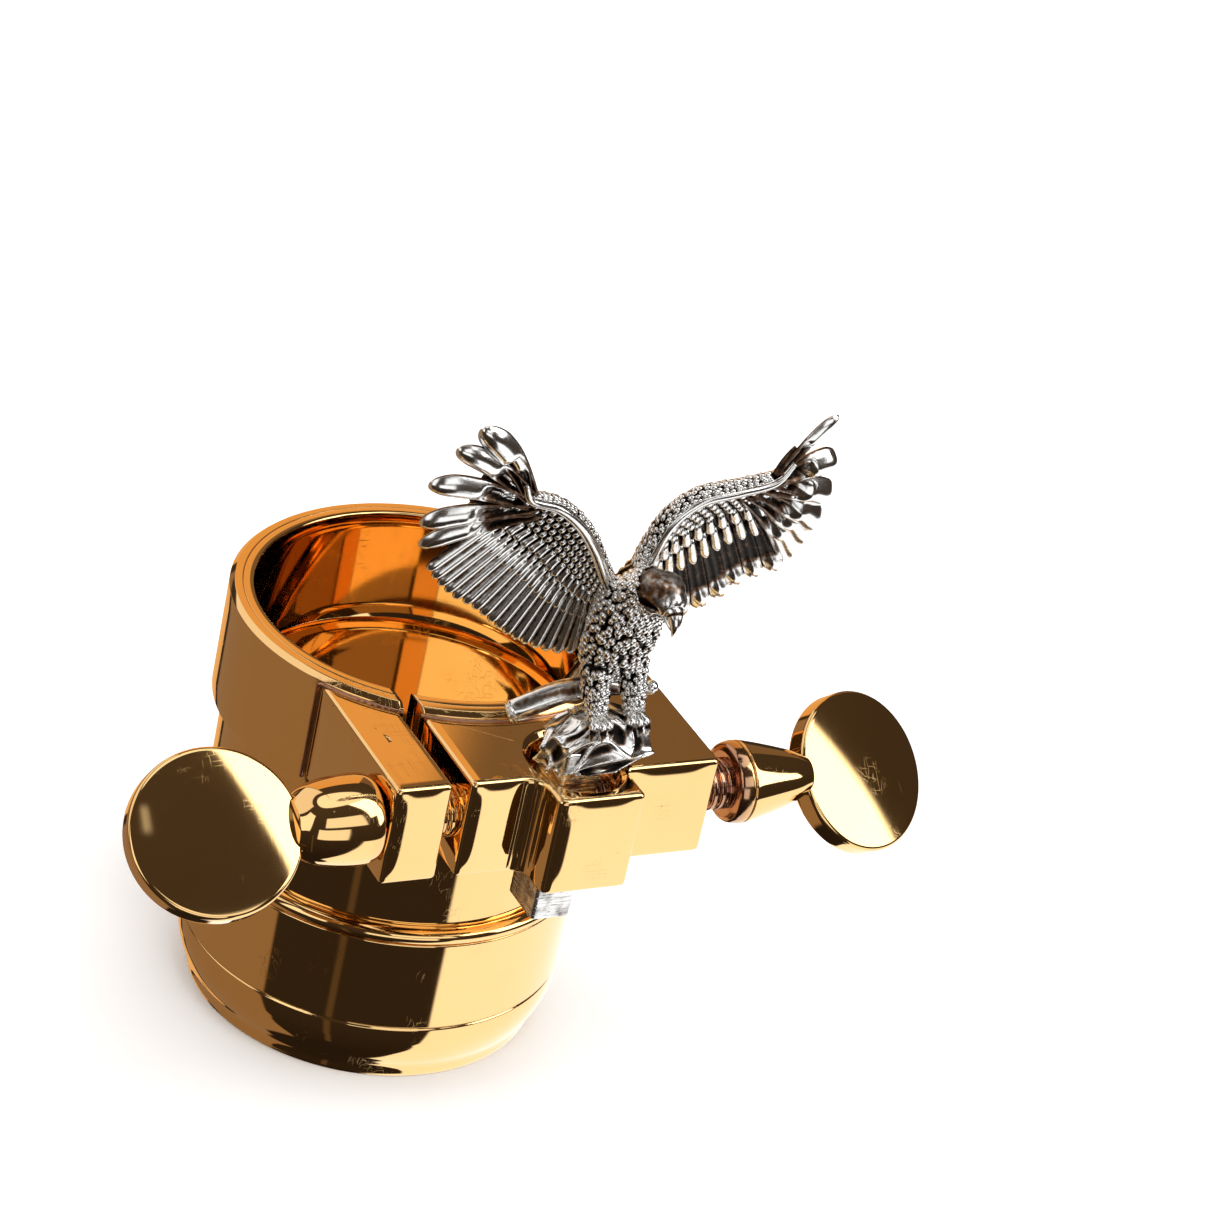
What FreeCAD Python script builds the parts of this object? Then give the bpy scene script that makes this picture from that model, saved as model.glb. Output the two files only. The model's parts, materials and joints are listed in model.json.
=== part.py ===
import FreeCAD, Part
import os

# Neck clamp of a tenor saxophone with a spread-winged eagle ornament held in its lyre socket.
# Millimetres. The origin is the centre of the bore's mouth at the collar's top rim, +Z points up
# out of the bore, -Y is the front (the side of the clamp lugs), -X is the side of the neck screw.

# ---- driving dimensions ------------------------------------------------------------------
BORE_RADIUS = 13.75           # seats the 27.5 mm neck tenon
SLEEVE_RADIUS = 14.6
BAND_RADIUS = 15.6
BAND_HEIGHT = 9.6
RIM_CHAMFER = 0.4
SLEEVE_LENGTH = 24.0
SLIT_LEFT = -8.24
SLIT_RIGHT = -7.09

BEAD_HEIGHT = 1.3
BEAD_CENTRE_Z = -20.4
BEAD_RADIUS = 15.62
FERRULE_RADIUS = 15.3
FERRULE_TOP = -21.05
FERRULE_STEP_Z = -28.7
FERRULE_BOTTOM = -34.4
FERRULE_NECK_RADIUS = 13.95
BODY_BORE_RADIUS = 13.1
BODY_BORE_TOP = -26.4

LUG_TOP = -0.65
LUG_HEIGHT = 8.15
LUG_FRONT = -23.1
LEFT_LUG_X = -13.04
RIGHT_BLOCK_X = 13.58
BOX_LEFT = -1.60
BOX_RIGHT = 5.72
BOX_FRONT = -26.42
BOX_FILLET = 1.2
BOX_EDGE_ROUND = 0.9
EDGE_ROUND = 0.22

SOCKET_X = 2.1
SOCKET_FRONT_Y = -21.8
SOCKET_BACK_Y = -20.6
SOCKET_RADIUS = 3.2
SOCKET_CHAMFER = 0.5

SCREW_Y = -20.2
SCREW_Z = LUG_TOP - LUG_HEIGHT / 2
SCREW_RADIUS = 1.95
SCREW_HOLE_RADIUS = 2.0
THREAD_PITCH = 0.7
THREAD_DEPTH = 0.28
NECK_HOLE_END = -2.9
NECK_SCREW_TIP = -3.3
LYRE_SCREW_TIP = 2.99
NECK_BARREL_SEAT = -13.1
LYRE_BARREL_SEAT = 15.8
NECK_PADDLE_EDGE_X = -18.62    # where each thumb piece's rim meets the screw's axis
LYRE_PADDLE_EDGE_X = 22.35
NECK_PADDLE_TILT = 47.0
LYRE_PADDLE_TILT = 43.8
NECK_PADDLE_YAW = -6.3         # the thumb pieces were brazed on a little askew
LYRE_PADDLE_YAW = 14.5
PADDLE_HALF_LENGTH = 6.4
PADDLE_HALF_WIDTH = 6.28
PADDLE_THICKNESS = 2.5
PADDLE_RIM_ROUND = 0.4

STEM_LEFT = -0.25
STEM_RIGHT = 2.95
STEM_FRONT = -23.8
STEM_BACK = -19.8
STEM_BOTTOM = -12.85
STEM_TOP = 1.6
STEM_ROUND = 0.3

BIRD_X = 2.9                  # the bird's middle plane
WING_HALF_THICKNESS = 0.55

V = FreeCAD.Vector


# ---- helpers -----------------------------------------------------------------------------
def tube(outer, inner, bottom, top):
    """A plain ring about the bore's axis."""
    height = top - bottom
    shell = Part.makeCylinder(outer, height, V(0, 0, bottom))
    return shell.cut(Part.makeCylinder(inner, height, V(0, 0, bottom)))


def revolved(points, axis_point, axis):
    """A solid turned from a closed outline of straight edges."""
    outline = Part.makePolygon(points + [points[0]])
    return Part.Face(outline).revolve(axis_point, axis, 360)


def box(x0, x1, y0, y1, z0, z1):
    return Part.makeBox(x1 - x0, y1 - y0, z1 - z0, V(x0, y0, z0))


def oval_section(centre, across, along, radius_across, radius_along):
    """An ellipse about centre, in the plane of the two given directions."""
    circle = Part.Wire([Part.makeCircle(1.0)])
    u = V(*across).normalize()
    v = V(*along)
    v = (v - u * v.dot(u)).normalize()
    n = u.cross(v)
    a, b = radius_across, radius_along
    matrix = FreeCAD.Matrix(u.x * a, v.x * b, n.x, centre[0],
                            u.y * a, v.y * b, n.y, centre[1],
                            u.z * a, v.z * b, n.z, centre[2],
                            0, 0, 0, 1)
    return circle.transformGeometry(matrix)


def lump(sections, across, along):
    """A rounded solid lofted through ovals given as (centre, half width, half depth)."""
    wires = [oval_section(c, across, along, a, b) for c, a, b in sections]
    return Part.makeLoft(wires, True, False)


def slab(inner, outer, half_thickness):
    """A thin solid between two chains of points: each triangle is carried through the thickness along Y."""
    def prism(*corners):
        front = [V(p[0], p[1] - half_thickness, p[2]) for p in corners]
        return Part.Face(Part.makePolygon(front + [front[0]])).extrude(V(0, 2 * half_thickness, 0))

    prisms = []
    for i in range(len(inner) - 1):
        prisms.append(prism(inner[i], outer[i], outer[i + 1]))
        prisms.append(prism(inner[i], outer[i + 1], inner[i + 1]))
    return prisms[0].multiFuse(prisms[1:])


def threaded_rod(x_tip, x_end, radius):
    """A rod along X whose ring grooves stand for its thread."""
    low, high = min(x_tip, x_end), max(x_tip, x_end)
    lead = 0.5
    root = radius - THREAD_DEPTH
    tip_side = 1 if x_tip < x_end else -1
    points = [V(x_tip, 0, 0), V(x_tip, radius - lead, 0), V(x_tip + tip_side * lead, radius, 0)]
    x = x_tip + tip_side * (lead + 0.15)
    while low + 1.4 < x + tip_side * THREAD_PITCH < high - 1.4:
        points.append(V(x, radius, 0))
        points.append(V(x + tip_side * THREAD_PITCH / 2, root, 0))
        x += tip_side * THREAD_PITCH
    points += [V(x, radius, 0), V(x_end, radius, 0), V(x_end, 0, 0)]
    rod = revolved(points, V(0, 0, 0), V(1, 0, 0))
    rod.translate(V(0, SCREW_Y, SCREW_Z))
    return rod


def barrel(profile):
    """The bulged grip of a screw, turned from a smooth profile of (x, radius) points."""
    curve = Part.BSplineCurve()
    curve.interpolate([V(x, r, 0) for x, r in profile])
    first, last = V(profile[0][0], 0, 0), V(profile[-1][0], 0, 0)
    start, end = V(profile[0][0], profile[0][1], 0), V(profile[-1][0], profile[-1][1], 0)
    edges = [Part.makeLine(first, start), curve.toShape(), Part.makeLine(end, last), Part.makeLine(last, first)]
    solid = Part.Face(Part.Wire(edges)).revolve(V(0, 0, 0), V(1, 0, 0), 360)
    solid.translate(V(0, SCREW_Y, SCREW_Z))
    return solid


def paddle(edge_x, outward, tilt, yaw, half_length, half_width):
    """The oval thumb piece: a thick disc with a rounded rim, which meets the screw's axis at one edge
    and is turned about that edge by the yaw."""
    centre = (outward * half_length, 0, -PADDLE_THICKNESS / 2)
    disc = Part.Face(oval_section(centre, (1, 0, 0), (0, 1, 0), half_length, half_width))
    disc = disc.extrude(V(0, 0, PADDLE_THICKNESS))
    disc = disc.makeFillet(PADDLE_RIM_ROUND, [e for e in disc.Edges if e.Length > 2 * half_width])
    disc.rotate(V(0, 0, 0), V(0, 1, 0), yaw)
    disc.rotate(V(0, 0, 0), V(1, 0, 0), 90 - tilt)
    disc.translate(V(edge_x, SCREW_Y, SCREW_Z))
    return disc


def edges_at(shape, test):
    """Edges whose middle point passes the test."""
    chosen = []
    for edge in shape.Edges:
        middle = edge.valueAt((edge.FirstParameter + edge.LastParameter) / 2)
        if test(middle, edge):
            chosen.append(edge)
    return chosen


def is_vertical(edge):
    a, b = edge.Vertexes[0].Point, edge.Vertexes[-1].Point
    return abs(a.x - b.x) + abs(a.y - b.y) < 1e-6 and abs(a.z - b.z) > 1


# ---- the collar --------------------------------------------------------------------------
def slit():
    return box(SLIT_LEFT, SLIT_RIGHT, -BAND_RADIUS - 12, -BORE_RADIUS / 2, -BAND_HEIGHT, 1)


def receiver_sleeve():
    body = tube(SLEEVE_RADIUS, BORE_RADIUS, -SLEEVE_LENGTH, 0)
    return body.cut(slit())


def clamp_band():
    inner, outer, low = SLEEVE_RADIUS, BAND_RADIUS, -BAND_HEIGHT
    points = [V(inner, 0, low), V(outer - 0.15, 0, low), V(outer, 0, low + 0.15),
              V(outer, 0, -RIM_CHAMFER), V(outer - RIM_CHAMFER, 0, 0), V(inner, 0, 0)]
    return revolved(points, V(0, 0, 0), V(0, 0, 1)).cut(slit())


def ferrule_bead():
    middle, half = BEAD_CENTRE_Z, BEAD_HEIGHT / 2
    inner, flank = SLEEVE_RADIUS, SLEEVE_RADIUS + 0.35
    arc = Part.Arc(V(flank, 0, middle + half), V(BEAD_RADIUS, 0, middle), V(flank, 0, middle - half)).toShape()
    edges = [Part.makeLine(V(inner, 0, middle + half), V(flank, 0, middle + half)), arc,
             Part.makeLine(V(flank, 0, middle - half), V(inner, 0, middle - half)),
             Part.makeLine(V(inner, 0, middle - half), V(inner, 0, middle + half))]
    return Part.Face(Part.Wire(edges)).revolve(V(0, 0, 0), V(0, 0, 1), 360)


def body_ferrule():
    outer, neck, step = FERRULE_RADIUS, FERRULE_NECK_RADIUS, FERRULE_STEP_Z
    seat = -SLEEVE_LENGTH
    cove = Part.Arc(V(outer - 0.1, 0, step - 1.6), V((outer + neck) / 2 + 0.1, 0, (step - 1.6 + FERRULE_BOTTOM) / 2),
                    V(neck, 0, FERRULE_BOTTOM)).toShape()
    chain = [V(neck, 0, FERRULE_BOTTOM), V(BODY_BORE_RADIUS, 0, FERRULE_BOTTOM),
             V(BODY_BORE_RADIUS, 0, BODY_BORE_TOP), V(BODY_BORE_RADIUS - 0.8, 0, BODY_BORE_TOP),
             V(BODY_BORE_RADIUS - 0.8, 0, seat), V(SLEEVE_RADIUS, 0, seat), V(SLEEVE_RADIUS, 0, FERRULE_TOP),
             V(outer, 0, FERRULE_TOP), V(outer, 0, step), V(outer - 0.25, 0, step - 0.2),
             V(outer - 0.1, 0, step - 0.45), V(outer - 0.1, 0, step - 1.6)]
    edges = [cove] + [Part.makeLine(a, b) for a, b in zip(chain, chain[1:])]
    return Part.Face(Part.Wire(edges)).revolve(V(0, 0, 0), V(0, 0, 1), 360)


# ---- the clamp blocks --------------------------------------------------------------------
def band_cutter():
    return Part.makeCylinder(BAND_RADIUS, 40, V(0, 0, -20))


def screw_hole(x0, x1):
    return Part.makeCylinder(SCREW_HOLE_RADIUS, x1 - x0, V(x0, SCREW_Y, SCREW_Z), V(1, 0, 0))


def rounded_front(block, front, radius):
    """Rounds the vertical edges and the rims of a block's front face."""
    return block.makeFillet(radius, edges_at(block, lambda m, e: abs(m.y - front) < 1e-6))


def left_clamp_lug():
    low = LUG_TOP - LUG_HEIGHT
    lug = box(LEFT_LUG_X, SLIT_LEFT, LUG_FRONT, 0, low, LUG_TOP)
    lug = rounded_front(lug, LUG_FRONT, EDGE_ROUND)
    lug = lug.cut(band_cutter())
    return lug.cut(screw_hole(LEFT_LUG_X - 1, SLIT_LEFT + 1))


def socket_bore():
    """The oblong lyre socket with its countersink."""
    def oblong(radius, z):
        y0, y1 = SOCKET_FRONT_Y, SOCKET_BACK_Y
        left, right = SOCKET_X - radius, SOCKET_X + radius
        edges = [Part.Arc(V(left, y0, z), V(SOCKET_X, y0 - radius, z), V(right, y0, z)).toShape(),
                 Part.makeLine(V(right, y0, z), V(right, y1, z)),
                 Part.Arc(V(right, y1, z), V(SOCKET_X, y1 + radius, z), V(left, y1, z)).toShape(),
                 Part.makeLine(V(left, y1, z), V(left, y0, z))]
        return Part.Wire(edges)
    through = Part.Face(oblong(SOCKET_RADIUS, LUG_TOP - LUG_HEIGHT - 1)).extrude(V(0, 0, LUG_HEIGHT + 2))
    mouth = Part.makeLoft([oblong(SOCKET_RADIUS, LUG_TOP - SOCKET_CHAMFER),
                           oblong(SOCKET_RADIUS + 1.2 * SOCKET_CHAMFER, LUG_TOP + 0.1 * SOCKET_CHAMFER)], True, True)
    return through.fuse(mouth)


def right_clamp_block():
    """The wide lug beyond the slit, with the lyre box standing out of its front."""
    low = LUG_TOP - LUG_HEIGHT
    block = box(SLIT_RIGHT, RIGHT_BLOCK_X, LUG_FRONT, 0, low, LUG_TOP)
    block = rounded_front(block, LUG_FRONT, EDGE_ROUND)
    lyre_box = box(BOX_LEFT, BOX_RIGHT, BOX_FRONT, LUG_FRONT + 2, low, LUG_TOP)
    lyre_box = lyre_box.makeFillet(BOX_EDGE_ROUND, edges_at(
        lyre_box, lambda m, e: is_vertical(e) and abs(m.x - BOX_LEFT) < 1e-6 and abs(m.y - BOX_FRONT) < 1e-6))
    lyre_box = lyre_box.makeFillet(EDGE_ROUND, edges_at(
        lyre_box, lambda m, e: abs(m.y - BOX_FRONT) < 1e-6 and m.x > BOX_LEFT + BOX_EDGE_ROUND))
    web = box(BOX_LEFT - BOX_FILLET, BOX_LEFT, LUG_FRONT - BOX_FILLET, LUG_FRONT, low, LUG_TOP)
    scoop = Part.makeCylinder(BOX_FILLET, LUG_HEIGHT + 2, V(BOX_LEFT - BOX_FILLET, LUG_FRONT - BOX_FILLET, low - 1))
    overlap = box(BOX_LEFT - BOX_FILLET, BOX_LEFT + 0.3, LUG_FRONT, LUG_FRONT + 0.5, low, LUG_TOP)
    block = block.fuse([lyre_box, web.cut(scoop), overlap]).removeSplitter()
    block = block.cut(band_cutter())
    block = block.cut(socket_bore())
    block = block.cut(screw_hole(SLIT_RIGHT - 1, NECK_HOLE_END))
    return block.cut(screw_hole(SOCKET_X, RIGHT_BLOCK_X + 1))


# ---- the two thumb screws ----------------------------------------------------------------
def neck_screw():
    seat = NECK_BARREL_SEAT
    profile = [(seat, 2.75), (seat - 0.35, 3.2), (seat - 1.3, 3.38), (seat - 2.9, 3.28),
               (seat - 4.4, 3.0), (seat - 5.5, 2.6), (seat - 6.4, 1.9)]
    grip = barrel(profile)
    rod = threaded_rod(NECK_SCREW_TIP, seat - 1.0, SCREW_RADIUS)
    thumb = paddle(NECK_PADDLE_EDGE_X, -1, NECK_PADDLE_TILT, NECK_PADDLE_YAW, PADDLE_HALF_LENGTH, PADDLE_HALF_WIDTH)
    return grip.fuse(rod).removeSplitter().cut(thumb), thumb


def lyre_screw():
    seat = LYRE_BARREL_SEAT
    profile = [(seat, 2.55), (seat + 0.35, 3.0), (seat + 1.2, 3.18), (seat + 2.9, 2.85),
               (seat + 4.8, 2.35), (seat + 6.1, 1.95), (seat + 7.3, 1.4)]
    grip = barrel(profile)
    rod = threaded_rod(LYRE_SCREW_TIP, seat + 1.0, SCREW_RADIUS)
    thumb = paddle(LYRE_PADDLE_EDGE_X, 1, LYRE_PADDLE_TILT, LYRE_PADDLE_YAW, PADDLE_HALF_LENGTH - 0.15,
                   PADDLE_HALF_WIDTH)
    return grip.fuse(rod).removeSplitter().cut(thumb), thumb


# ---- the ornament ------------------------------------------------------------------------
def ornament_stem():
    stem = box(STEM_LEFT, STEM_RIGHT, STEM_FRONT, STEM_BACK, STEM_BOTTOM, STEM_TOP)
    stem = stem.makeFillet(STEM_ROUND, edges_at(stem, lambda m, e: is_vertical(e)))
    return stem.makeChamfer(STEM_ROUND / 2, edges_at(stem, lambda m, e: m.z < STEM_BOTTOM + 1e-6))


def perch_rock():
    """A waisted lump that the bird stands on, wider to the right of the stem."""
    middle = BIRD_X + 0.15
    sections = [((middle - 0.2, -21.7, -0.25), 2.9, 2.5), ((middle + 0.1, -21.8, 0.6), 4.2, 3.05),
                ((middle, -21.7, 2.0), 4.5, 3.1), ((middle - 0.1, -21.5, 3.1), 4.1, 2.8),
                ((middle - 0.1, -21.4, 3.8), 2.9, 2.0)]
    return lump(sections, (1, 0, 0), (0, 1, 0))


def perch_branch():
    """The broken branch that runs behind the feet and stands out on both sides."""
    sections = [((-3.4, -19.0, 2.35), 0.55, 0.5), ((-2.2, -19.2, 2.95), 0.72, 0.66),
                ((0.6, -19.6, 4.3), 0.8, 0.72), ((3.4, -19.9, 4.7), 0.72, 0.66), ((6.0, -20.4, 4.7), 0.6, 0.55),
                ((7.9, -20.9, 4.75), 0.42, 0.42)]
    return lump(sections, (0, 0, 1), (0, 1, 0))


def eagle_body():
    """Torso and neck: ovals up a spine that leans forward."""
    sections = [((BIRD_X - 0.1, -21.4, 6.1), 1.5, 1.2), ((BIRD_X - 0.1, -21.7, 7.8), 2.55, 1.9),
                ((BIRD_X, -22.1, 10.2), 2.85, 2.2), ((BIRD_X, -22.5, 12.6), 2.6, 2.1),
                ((BIRD_X + 0.2, -23.1, 14.3), 1.95, 1.75), ((BIRD_X + 0.5, -23.9, 15.3), 1.4, 1.4)]
    return lump(sections, (1, 0, 0), (0, 1, 0.25))


def eagle_head():
    """The head with its hooked beak, turned a little to the bird's left."""
    sections = [((BIRD_X + 0.55, -23.6, 15.5), 1.25, 1.2), ((BIRD_X + 0.85, -24.6, 15.7), 1.65, 1.55),
                ((BIRD_X + 1.0, -25.6, 15.4), 1.5, 1.45), ((BIRD_X + 1.0, -26.5, 14.9), 0.95, 0.95),
                ((BIRD_X + 0.95, -27.1, 14.2), 0.55, 0.6), ((BIRD_X + 0.9, -27.2, 13.4), 0.2, 0.25)]
    wires = []
    normals = [(0, -1, 0.2), (0, -1, 0), (0, -1, -0.35), (0, -1, -0.8), (0, -0.6, -1), (0, 0, -1)]
    for (centre, half_width, half_depth), normal in zip(sections, normals):
        up = V(1, 0, 0).cross(V(*normal))
        wires.append(oval_section(centre, (1, 0, 0), (up.x, up.y, up.z), half_width, half_depth))
    return Part.makeLoft(wires, True, False)


def eagle_leg(top_x, foot_x, foot_y):
    """A feathered leg that narrows into its clenched foot."""
    sections = [((top_x, -22.0, 8.2), 1.15, 1.25), ((top_x, -22.2, 6.4), 1.05, 1.1),
                ((foot_x, foot_y + 0.2, 4.4), 0.68, 0.7), ((foot_x, foot_y - 0.25, 3.1), 0.95, 1.15)]
    return lump(sections, (1, 0, 0), (0, 1, 0))


def eagle_tail():
    """A fan that hangs behind the legs and clears the block's top."""
    inner = [(BIRD_X + dx, -20.6, 8.0) for dx in (-1.2, -0.6, 0, 0.6, 1.2)]
    outer = [(BIRD_X - 1.6, -17.3, 2.9), (BIRD_X - 0.8, -17.0, 2.5), (BIRD_X, -16.9, 2.3),
             (BIRD_X + 0.8, -17.0, 2.5), (BIRD_X + 1.6, -17.3, 2.9)]
    return slab(inner, outer, 0.45)


def eagle_wing(arm, tips, gaps):
    """A wing as a slab between its arm line and its feather tips; the first tips are parted by gaps."""
    inner, outer = [], []
    last = len(tips) - 1
    for i, tip in enumerate(tips):
        root = along_chain(arm, 1 - i / last)
        inner.append(root)
        outer.append(tip)
        if i < gaps:
            following = tips[i + 1]
            half_root = along_chain(arm, 1 - (i + 0.5) / last)
            outer.append(tuple(0.62 * (a + b) / 2 + 0.38 * c for a, b, c in zip(tip, following, half_root)))
            inner.append(half_root)
    return slab(inner, outer, WING_HALF_THICKNESS)


def along_chain(points, fraction):
    """The point at a fraction of the way along a chain, counted in equal shares per span."""
    place = fraction * (len(points) - 1)
    i = min(int(place), len(points) - 2)
    share = place - i
    return tuple(a + (b - a) * share for a, b in zip(points[i], points[i + 1]))


# The bird's own right wing is on the -X side. Arm: shoulder to wrist. Tips: first primary to body.
RIGHT_WING_ARM = [(1.4, -21.8, 14.2), (-1.0, -22.6, 18.3), (-3.0, -23.1, 20.9), (-5.3, -23.3, 22.3),
                  (-7.4, -23.2, 22.8)]
RIGHT_WING_TIPS = [(-10.6, -24.4, 28.1), (-13.1, -24.6, 29.75), (-14.4, -23.9, 28.0), (-15.3, -22.7, 24.5),
                   (-14.9, -21.5, 20.6), (-14.1, -20.8, 18.1), (-12.4, -20.2, 15.7), (-10.2, -19.8, 13.4),
                   (-7.3, -19.5, 11.6), (-4.2, -19.2, 9.1), (-1.6, -19.1, 7.6), (1.0, -19.6, 7.4)]
LEFT_WING_ARM = [(3.9, -21.8, 14.6), (4.3, -22.2, 18.6), (6.4, -22.8, 21.9), (8.9, -23.0, 22.6),
                 (11.8, -23.0, 23.1)]
LEFT_WING_TIPS = [(15.8, -23.5, 28.75), (17.1, -22.5, 24.6), (18.3, -21.0, 20.4), (18.6, -20.0, 17.2),
                  (18.3, -19.3, 15.5), (18.0, -18.6, 13.8), (16.9, -17.8, 12.2), (15.1, -17.3, 11.4),
                  (13.5, -16.8, 9.7), (11.0, -16.8, 8.6), (7.8, -17.6, 7.6), (4.8, -18.9, 7.4)]


# ---- assembly ----------------------------------------------------------------------------
def build():
    neck_stem, neck_paddle = neck_screw()
    lyre_stem, lyre_paddle = lyre_screw()
    stem = ornament_stem()
    rock = perch_rock().cut(stem)
    body = eagle_body()
    legs = {}
    legs["eagle_right_leg"] = eagle_leg(BIRD_X - 1.25, BIRD_X - 0.85, -22.9)
    legs["eagle_left_leg"] = eagle_leg(BIRD_X + 1.35, BIRD_X + 2.1, -22.7)
    for name in legs:
        legs[name] = legs[name].cut(rock).cut(body)
    branch = perch_branch().cut(rock)
    for leg in legs.values():
        branch = branch.cut(leg)
    wings = {"eagle_right_wing": eagle_wing(RIGHT_WING_ARM, RIGHT_WING_TIPS, 5),
             "eagle_left_wing": eagle_wing(LEFT_WING_ARM, LEFT_WING_TIPS, 5)}
    parts = {
        "receiver_sleeve": receiver_sleeve(),
        "clamp_band": clamp_band(),
        "ferrule_bead": ferrule_bead(),
        "body_ferrule": body_ferrule(),
        "left_clamp_lug": left_clamp_lug(),
        "right_clamp_block": right_clamp_block(),
        "neck_screw_stem": neck_stem,
        "neck_screw_paddle": neck_paddle,
        "lyre_screw_stem": lyre_stem,
        "lyre_screw_paddle": lyre_paddle,
        "ornament_stem": stem,
        "perch_rock": rock,
        "perch_branch": branch,
        "eagle_body": body,
        "eagle_head": eagle_head().cut(body),
        "eagle_tail": eagle_tail().cut(body).cut(branch),
    }
    parts.update(legs)
    for name, wing in wings.items():
        parts[name] = wing.cut(body)
    return parts


def main():
    os.makedirs("parts", exist_ok=True)
    for name, shape in build().items():
        solids = [s for s in shape.Solids if s.Volume > 0.05]
        result = solids[0] if len(solids) == 1 else Part.makeCompound(solids)
        result.exportStep("parts/" + name + ".step")
        b = result.BoundBox
        print(f"{name:20s} solids {len(solids)} valid {result.isValid()} volume {result.Volume:8.1f} mm3 "
              f"x {b.XMin:6.2f} {b.XMax:6.2f} y {b.YMin:6.2f} {b.YMax:6.2f} z {b.ZMin:6.2f} {b.ZMax:6.2f}")


main()
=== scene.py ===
import json
import math

import bpy
import numpy as np
from mathutils import Matrix, Vector


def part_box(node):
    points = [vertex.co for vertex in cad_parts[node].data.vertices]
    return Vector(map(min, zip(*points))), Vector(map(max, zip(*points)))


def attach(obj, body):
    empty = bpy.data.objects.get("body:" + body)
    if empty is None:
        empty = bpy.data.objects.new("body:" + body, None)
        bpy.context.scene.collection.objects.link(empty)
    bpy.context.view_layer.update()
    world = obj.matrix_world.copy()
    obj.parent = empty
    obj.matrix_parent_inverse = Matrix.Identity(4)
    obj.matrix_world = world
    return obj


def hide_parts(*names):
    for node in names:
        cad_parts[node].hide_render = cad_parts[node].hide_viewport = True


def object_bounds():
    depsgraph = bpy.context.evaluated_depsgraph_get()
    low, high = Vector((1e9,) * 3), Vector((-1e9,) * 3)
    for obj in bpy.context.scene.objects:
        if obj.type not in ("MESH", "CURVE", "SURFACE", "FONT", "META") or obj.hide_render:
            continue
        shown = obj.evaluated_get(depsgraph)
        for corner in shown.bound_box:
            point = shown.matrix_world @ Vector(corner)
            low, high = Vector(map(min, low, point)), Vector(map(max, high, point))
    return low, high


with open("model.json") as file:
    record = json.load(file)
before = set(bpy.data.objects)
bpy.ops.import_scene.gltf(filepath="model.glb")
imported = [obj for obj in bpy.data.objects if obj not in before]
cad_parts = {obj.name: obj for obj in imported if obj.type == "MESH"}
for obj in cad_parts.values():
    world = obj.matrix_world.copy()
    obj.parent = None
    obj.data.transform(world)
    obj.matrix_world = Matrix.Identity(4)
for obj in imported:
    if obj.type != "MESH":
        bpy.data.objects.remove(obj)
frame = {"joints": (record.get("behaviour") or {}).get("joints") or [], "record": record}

bl_info = {
    "name": "Neck clamp with eagle ornament",
    "version": (1, 0, 0),
    "blender": (4, 5, 0),
    "location": "3D View > Sidebar > Neck Clamp",
    "description": "Turned collar, clamp blocks, thumb screws and a cast eagle, round the packed frame",
    "category": "Add Mesh",
}

MM = 0.001
ARM_SPAN = 0.58      # share of a wing's span that its arm takes; the primaries have the rest
FULL = 0.9985        # how far a feather is drawn, so that its tip isn't a single point
BITE = 0.5           # how far the blocks reach into the band, in millimetres
CAD_BOX = [list(corner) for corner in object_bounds()]
RECORD = frame["record"]


# ---- places read from the frame, in millimetres --------------------------------------------
def box(node):
    """Low and high corner of a CAD node."""
    low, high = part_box(node)
    return np.array(low) / MM, np.array(high) / MM


def place(node, shares):
    """Points given as shares of a CAD node's box along x, y and z."""
    low, high = box(node)
    return low + np.asarray(shares, float) * (high - low)


def mount_radius(name):
    """Radius of one of the record's mounts."""
    return next(m["dims"]["r_mm"] for m in RECORD["mounts"] if m["name"] == name)


def joint_place(name):
    """Where a joint's axis is."""
    return np.array(next(j["pos_m"] for j in frame["joints"] if j["name"] == name)) / MM


BORE = mount_radius("neck_socket")
BODY_BORE = mount_radius("body_tube_socket")
SLEEVE_OUT = box("receiver_sleeve")[1][0]
SLEEVE_LOW = box("receiver_sleeve")[0][2]
BAND_OUT = box("clamp_band")[1][0]
BAND_LOW = box("clamp_band")[0][2]
SLIT = (box("left_clamp_lug")[1][0], box("right_clamp_block")[0][0])


# ---- properties a user would change --------------------------------------------------------
def length_property(name, description, millimetres):
    return bpy.props.FloatProperty(name=name, description=description, default=millimetres * MM,
                                   min=0.0, subtype="DISTANCE", unit="LENGTH", precision=5)


def colour_property(name, description, colour):
    return bpy.props.FloatVectorProperty(name=name, description=description, default=colour, size=3,
                                         min=0.0, max=1.0, subtype="COLOR")


def share_property(name, description, value):
    return bpy.props.FloatProperty(name=name, description=description, default=value, min=0.0, max=1.0,
                                   subtype="FACTOR")


class FinishProperties(bpy.types.PropertyGroup):
    """Colours and polish of the metals."""
    brass: colour_property("Brass", "Lacquered brass seen face on", (0.93, 0.61, 0.26))
    brass_deep: colour_property("Deep brass", "Brass where the lacquer lies thicker", (0.86, 0.49, 0.16))
    # Used as the braze seams' heat tint, and also painted as shade on the screw barrels' ends and threads by
    # the blocks
    braze_tint_and_seat_shade: colour_property("Heat tint", "Colour that brazing leaves beside a joint", (0.36, 0.17, 0.13))
    silver: colour_property("Silver", "Polished high points of the casting", (0.93, 0.92, 0.90))
    oxide: colour_property("Oxide", "Blackened recesses of the casting", (0.012, 0.010, 0.009))
    brown_oxide: colour_property("Brown oxide", "Thin oxide between recess and high point",
                                 (0.17, 0.095, 0.055))
    polish: share_property("Roughness", "Roughness of the polished brass", 0.05)
    scratches: share_property("Scratches", "How much the fine scratches show", 0.4)


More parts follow.
